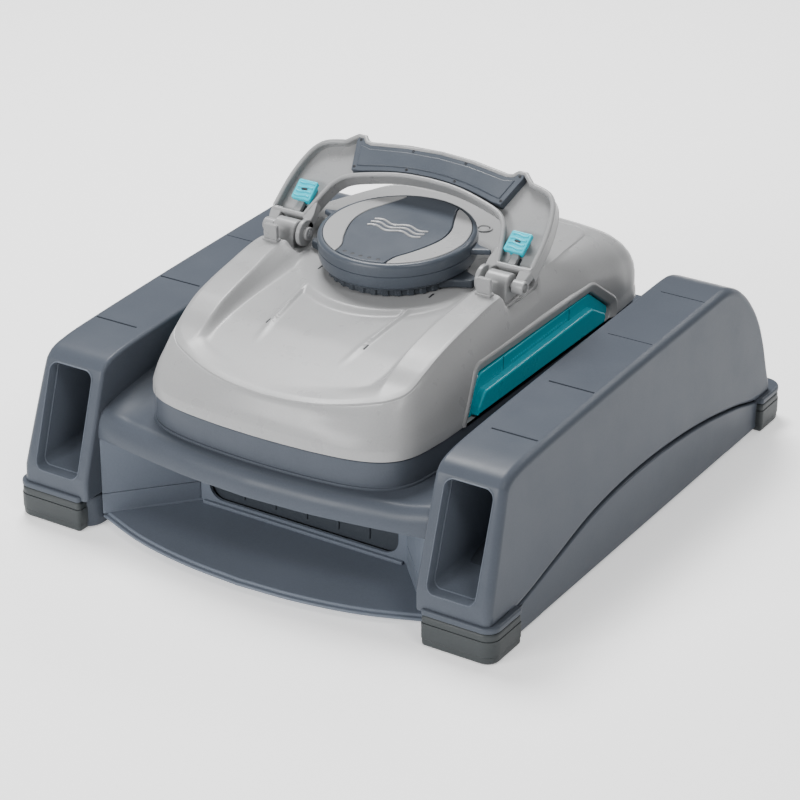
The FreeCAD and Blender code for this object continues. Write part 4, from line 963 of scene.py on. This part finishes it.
slider_top = slab(rounded([(88.2, 25), (105.8, 25), (106.4, 43), (88.8, 43)], 1.6, 4), "XY", 1.2, 5.4, 1.1)
slider_foot = slab(rounded(rect(91, 26, 103, 41), 1, 3), "XY", -3.2, 1.6, 0.2)
slider = join(slider_top, slider_foot, *[wavy_rib(28.2 + 3.9 * k) for k in range(4)])
pair("lock_button", moved(slider, lean), "lock_slider", BRIGHT_TEAL, ["lock_slider"])
slot_mark = slab(rounded(rect(94.5, 33.2, 100, 35.4), 0.8, 3), "XY", 4.8, 5.75, 0.2, 2)
pair("lock_mark", moved(slot_mark, lean), "lock_slider", DARK)
# Thin dark plate round the lock tongue: painted shade of the recess the tongue slides in.
tongue_slot_shade = slab(rounded(rect(93, 15.5, 103, 24.6), 1.0, 3), "XY", -3.6, -3.0, 0.1, 1)
pair("lock_recess", moved(tongue_slot_shade, lean), "handle", DARK)
tongue = slab(rounded(rect(95, 12.2, 101, 26.6), 1.0, 3), "XY", -3.4, 0.6, 0.6)
pair("lock_tongue", moved(tongue, lean), "handle", HANDLE)

KNUCKLE_FOOT, KNUCKLE_R = 181, 9
knuckle_top = []
for degrees in range(10, 180, 10):
    angle = math.radians(degrees)
    knuckle_top.append((HINGE_Y + KNUCKLE_R * math.cos(angle), HINGE_Z + KNUCKLE_R * math.sin(angle)))
knuckle_outline = [(HINGE_Y + KNUCKLE_R, KNUCKLE_FOOT), (HINGE_Y + KNUCKLE_R, HINGE_Z), *knuckle_top,
                   (HINGE_Y - KNUCKLE_R, HINGE_Z), (HINGE_Y - KNUCKLE_R, KNUCKLE_FOOT)]
knuckle = slab(knuckle_outline, "YZ", 86.5, 106.5, 1.5)
tab = slab(rounded(rect(90.4, 183, 102.6, 207), [0.5, 0.5, 2.4, 2.4], 4), "XZ", -53, -49.2, 0.8)
tab_foot = slab(rounded(rect(89.6, 191.0, 103.4, 195.2), 1.4, 4), "XZ", -54, -47.5, 1.0)
PIN_R = 3.0
pin_hole = moved(lathe([(PIN_R, 84), (PIN_R, 110)], 32, "x"), to_hinge)
pair("hinge_knuckle", join(subtract(knuckle, pin_hole), tab, tab_foot), "top_cover", HANDLE,
     ["hinge_bracket"])


def hinge_pin(low, high):
    """Pin along x with chamfered ends."""
    profile = [(0.1, low), (PIN_R - 0.5, low), (PIN_R, low + 0.5), (PIN_R, high - 0.5), (PIN_R - 0.5, high),
               (0.1, high)]
    return moved(lathe(profile, 32, "x"), to_hinge)


pins = join(hinge_pin(76.0, 114.0), hinge_pin(-114.0, -76.0))
piece("hinge_rods", pins, "top_cover", STEEL, ["hinge_pins"])


def slot_shade_plate(x, y):
    """Dark plate with painted shade, lying on the crown where a slot is."""
    shade_plate = slab(rounded(rect(-0.7, -3.4, 0.7, 3.4), 0.6, 3), "XY", -0.6, 0.35, 0.1, 1)
    place = Matrix.Translation((x, y, crown(x, y)))
    return moved(shade_plate, place @ Matrix.Rotation(math.radians(8), 4, "X"))


pair("shell_slots", join(slot_shade_plate(43.7, -132), slot_shade_plate(50.4, -51.6)), "top_cover", DARK)

# ---------------------------------------------------------------------------
# Floor, light and camera
# ---------------------------------------------------------------------------
FLOOR_REACH, FLOOR_Z = 9000, -0.4
floor_square = rect(-FLOOR_REACH, -FLOOR_REACH, FLOOR_REACH, FLOOR_REACH)
floor_corners = [Vector((x, y, FLOOR_Z)) for x, y in floor_square]
floor_mesh = raw_object("studio_floor", (floor_corners, [(0, 1, 2, 3)]))
floor_material = moulded("floor_pale", (0.90, 0.90, 0.90), roughness=0.8, grain=0.05, wear=0.0, drift=0.005)
floor_shader = next(node for node in floor_material.node_tree.nodes if node.type == "BSDF_PRINCIPLED")
floor_shader.inputs["Emission Color"].default_value = (1.0, 1.0, 1.0, 1.0)
floor_shader.inputs["Emission Strength"].default_value = 0.50
floor_mesh.data.materials.append(floor_material)


def area_light(name, place, target, size, power):
    """Rectangular light in metres and watts that faces a target."""
    data = bpy.data.lights.new(name, "AREA")
    data.shape = "RECTANGLE"
    data.size, data.size_y = size
    data.energy = power
    lamp = bpy.data.objects.new(name, data)
    bpy.context.scene.collection.objects.link(lamp)
    lamp.location = place
    lamp.rotation_euler = (Vector(target) - Vector(place)).to_track_quat("-Z", "Y").to_euler()


area_light("light_key", (-0.75, 0.62, 2.1), (0, 0, 0.1), (0.9, 0.8), 84)
area_light("light_side", (1.6, -1.0, 2.1), (0, 0, 0.1), (0.8, 0.6), 22)
area_light("light_front", (-0.7, -2.35, 1.0), (0, 0, 0.05), (1.4, 0.6), 62)
area_light("light_back", (0.5, 2.4, 2.0), (0, 0, 0.1), (2.0, 0.5), 34)
world = bpy.data.worlds.new("studio")
world.use_nodes = True
background = world.node_tree.nodes["Background"]
background.inputs["Color"].default_value = (1.0, 1.0, 1.0, 1.0)
background.inputs["Strength"].default_value = 0.24
bpy.context.scene.world = world

CAMERA_PLACE = (1.07204, -1.70977, 1.06385)
CAMERA_TARGET = (-0.00183, -0.01312, 0.06286)
camera_data = bpy.data.cameras.new("camera")
camera_data.lens = 127.0
camera_data.sensor_width = 36.0
camera_data.clip_end = 50.0
camera = bpy.data.objects.new("camera", camera_data)
bpy.context.scene.collection.objects.link(camera)
camera.location = CAMERA_PLACE
aim = Vector(CAMERA_TARGET) - camera.location
camera.rotation_euler = aim.to_track_quat("-Z", "Y").to_euler()
bpy.context.scene.camera = camera
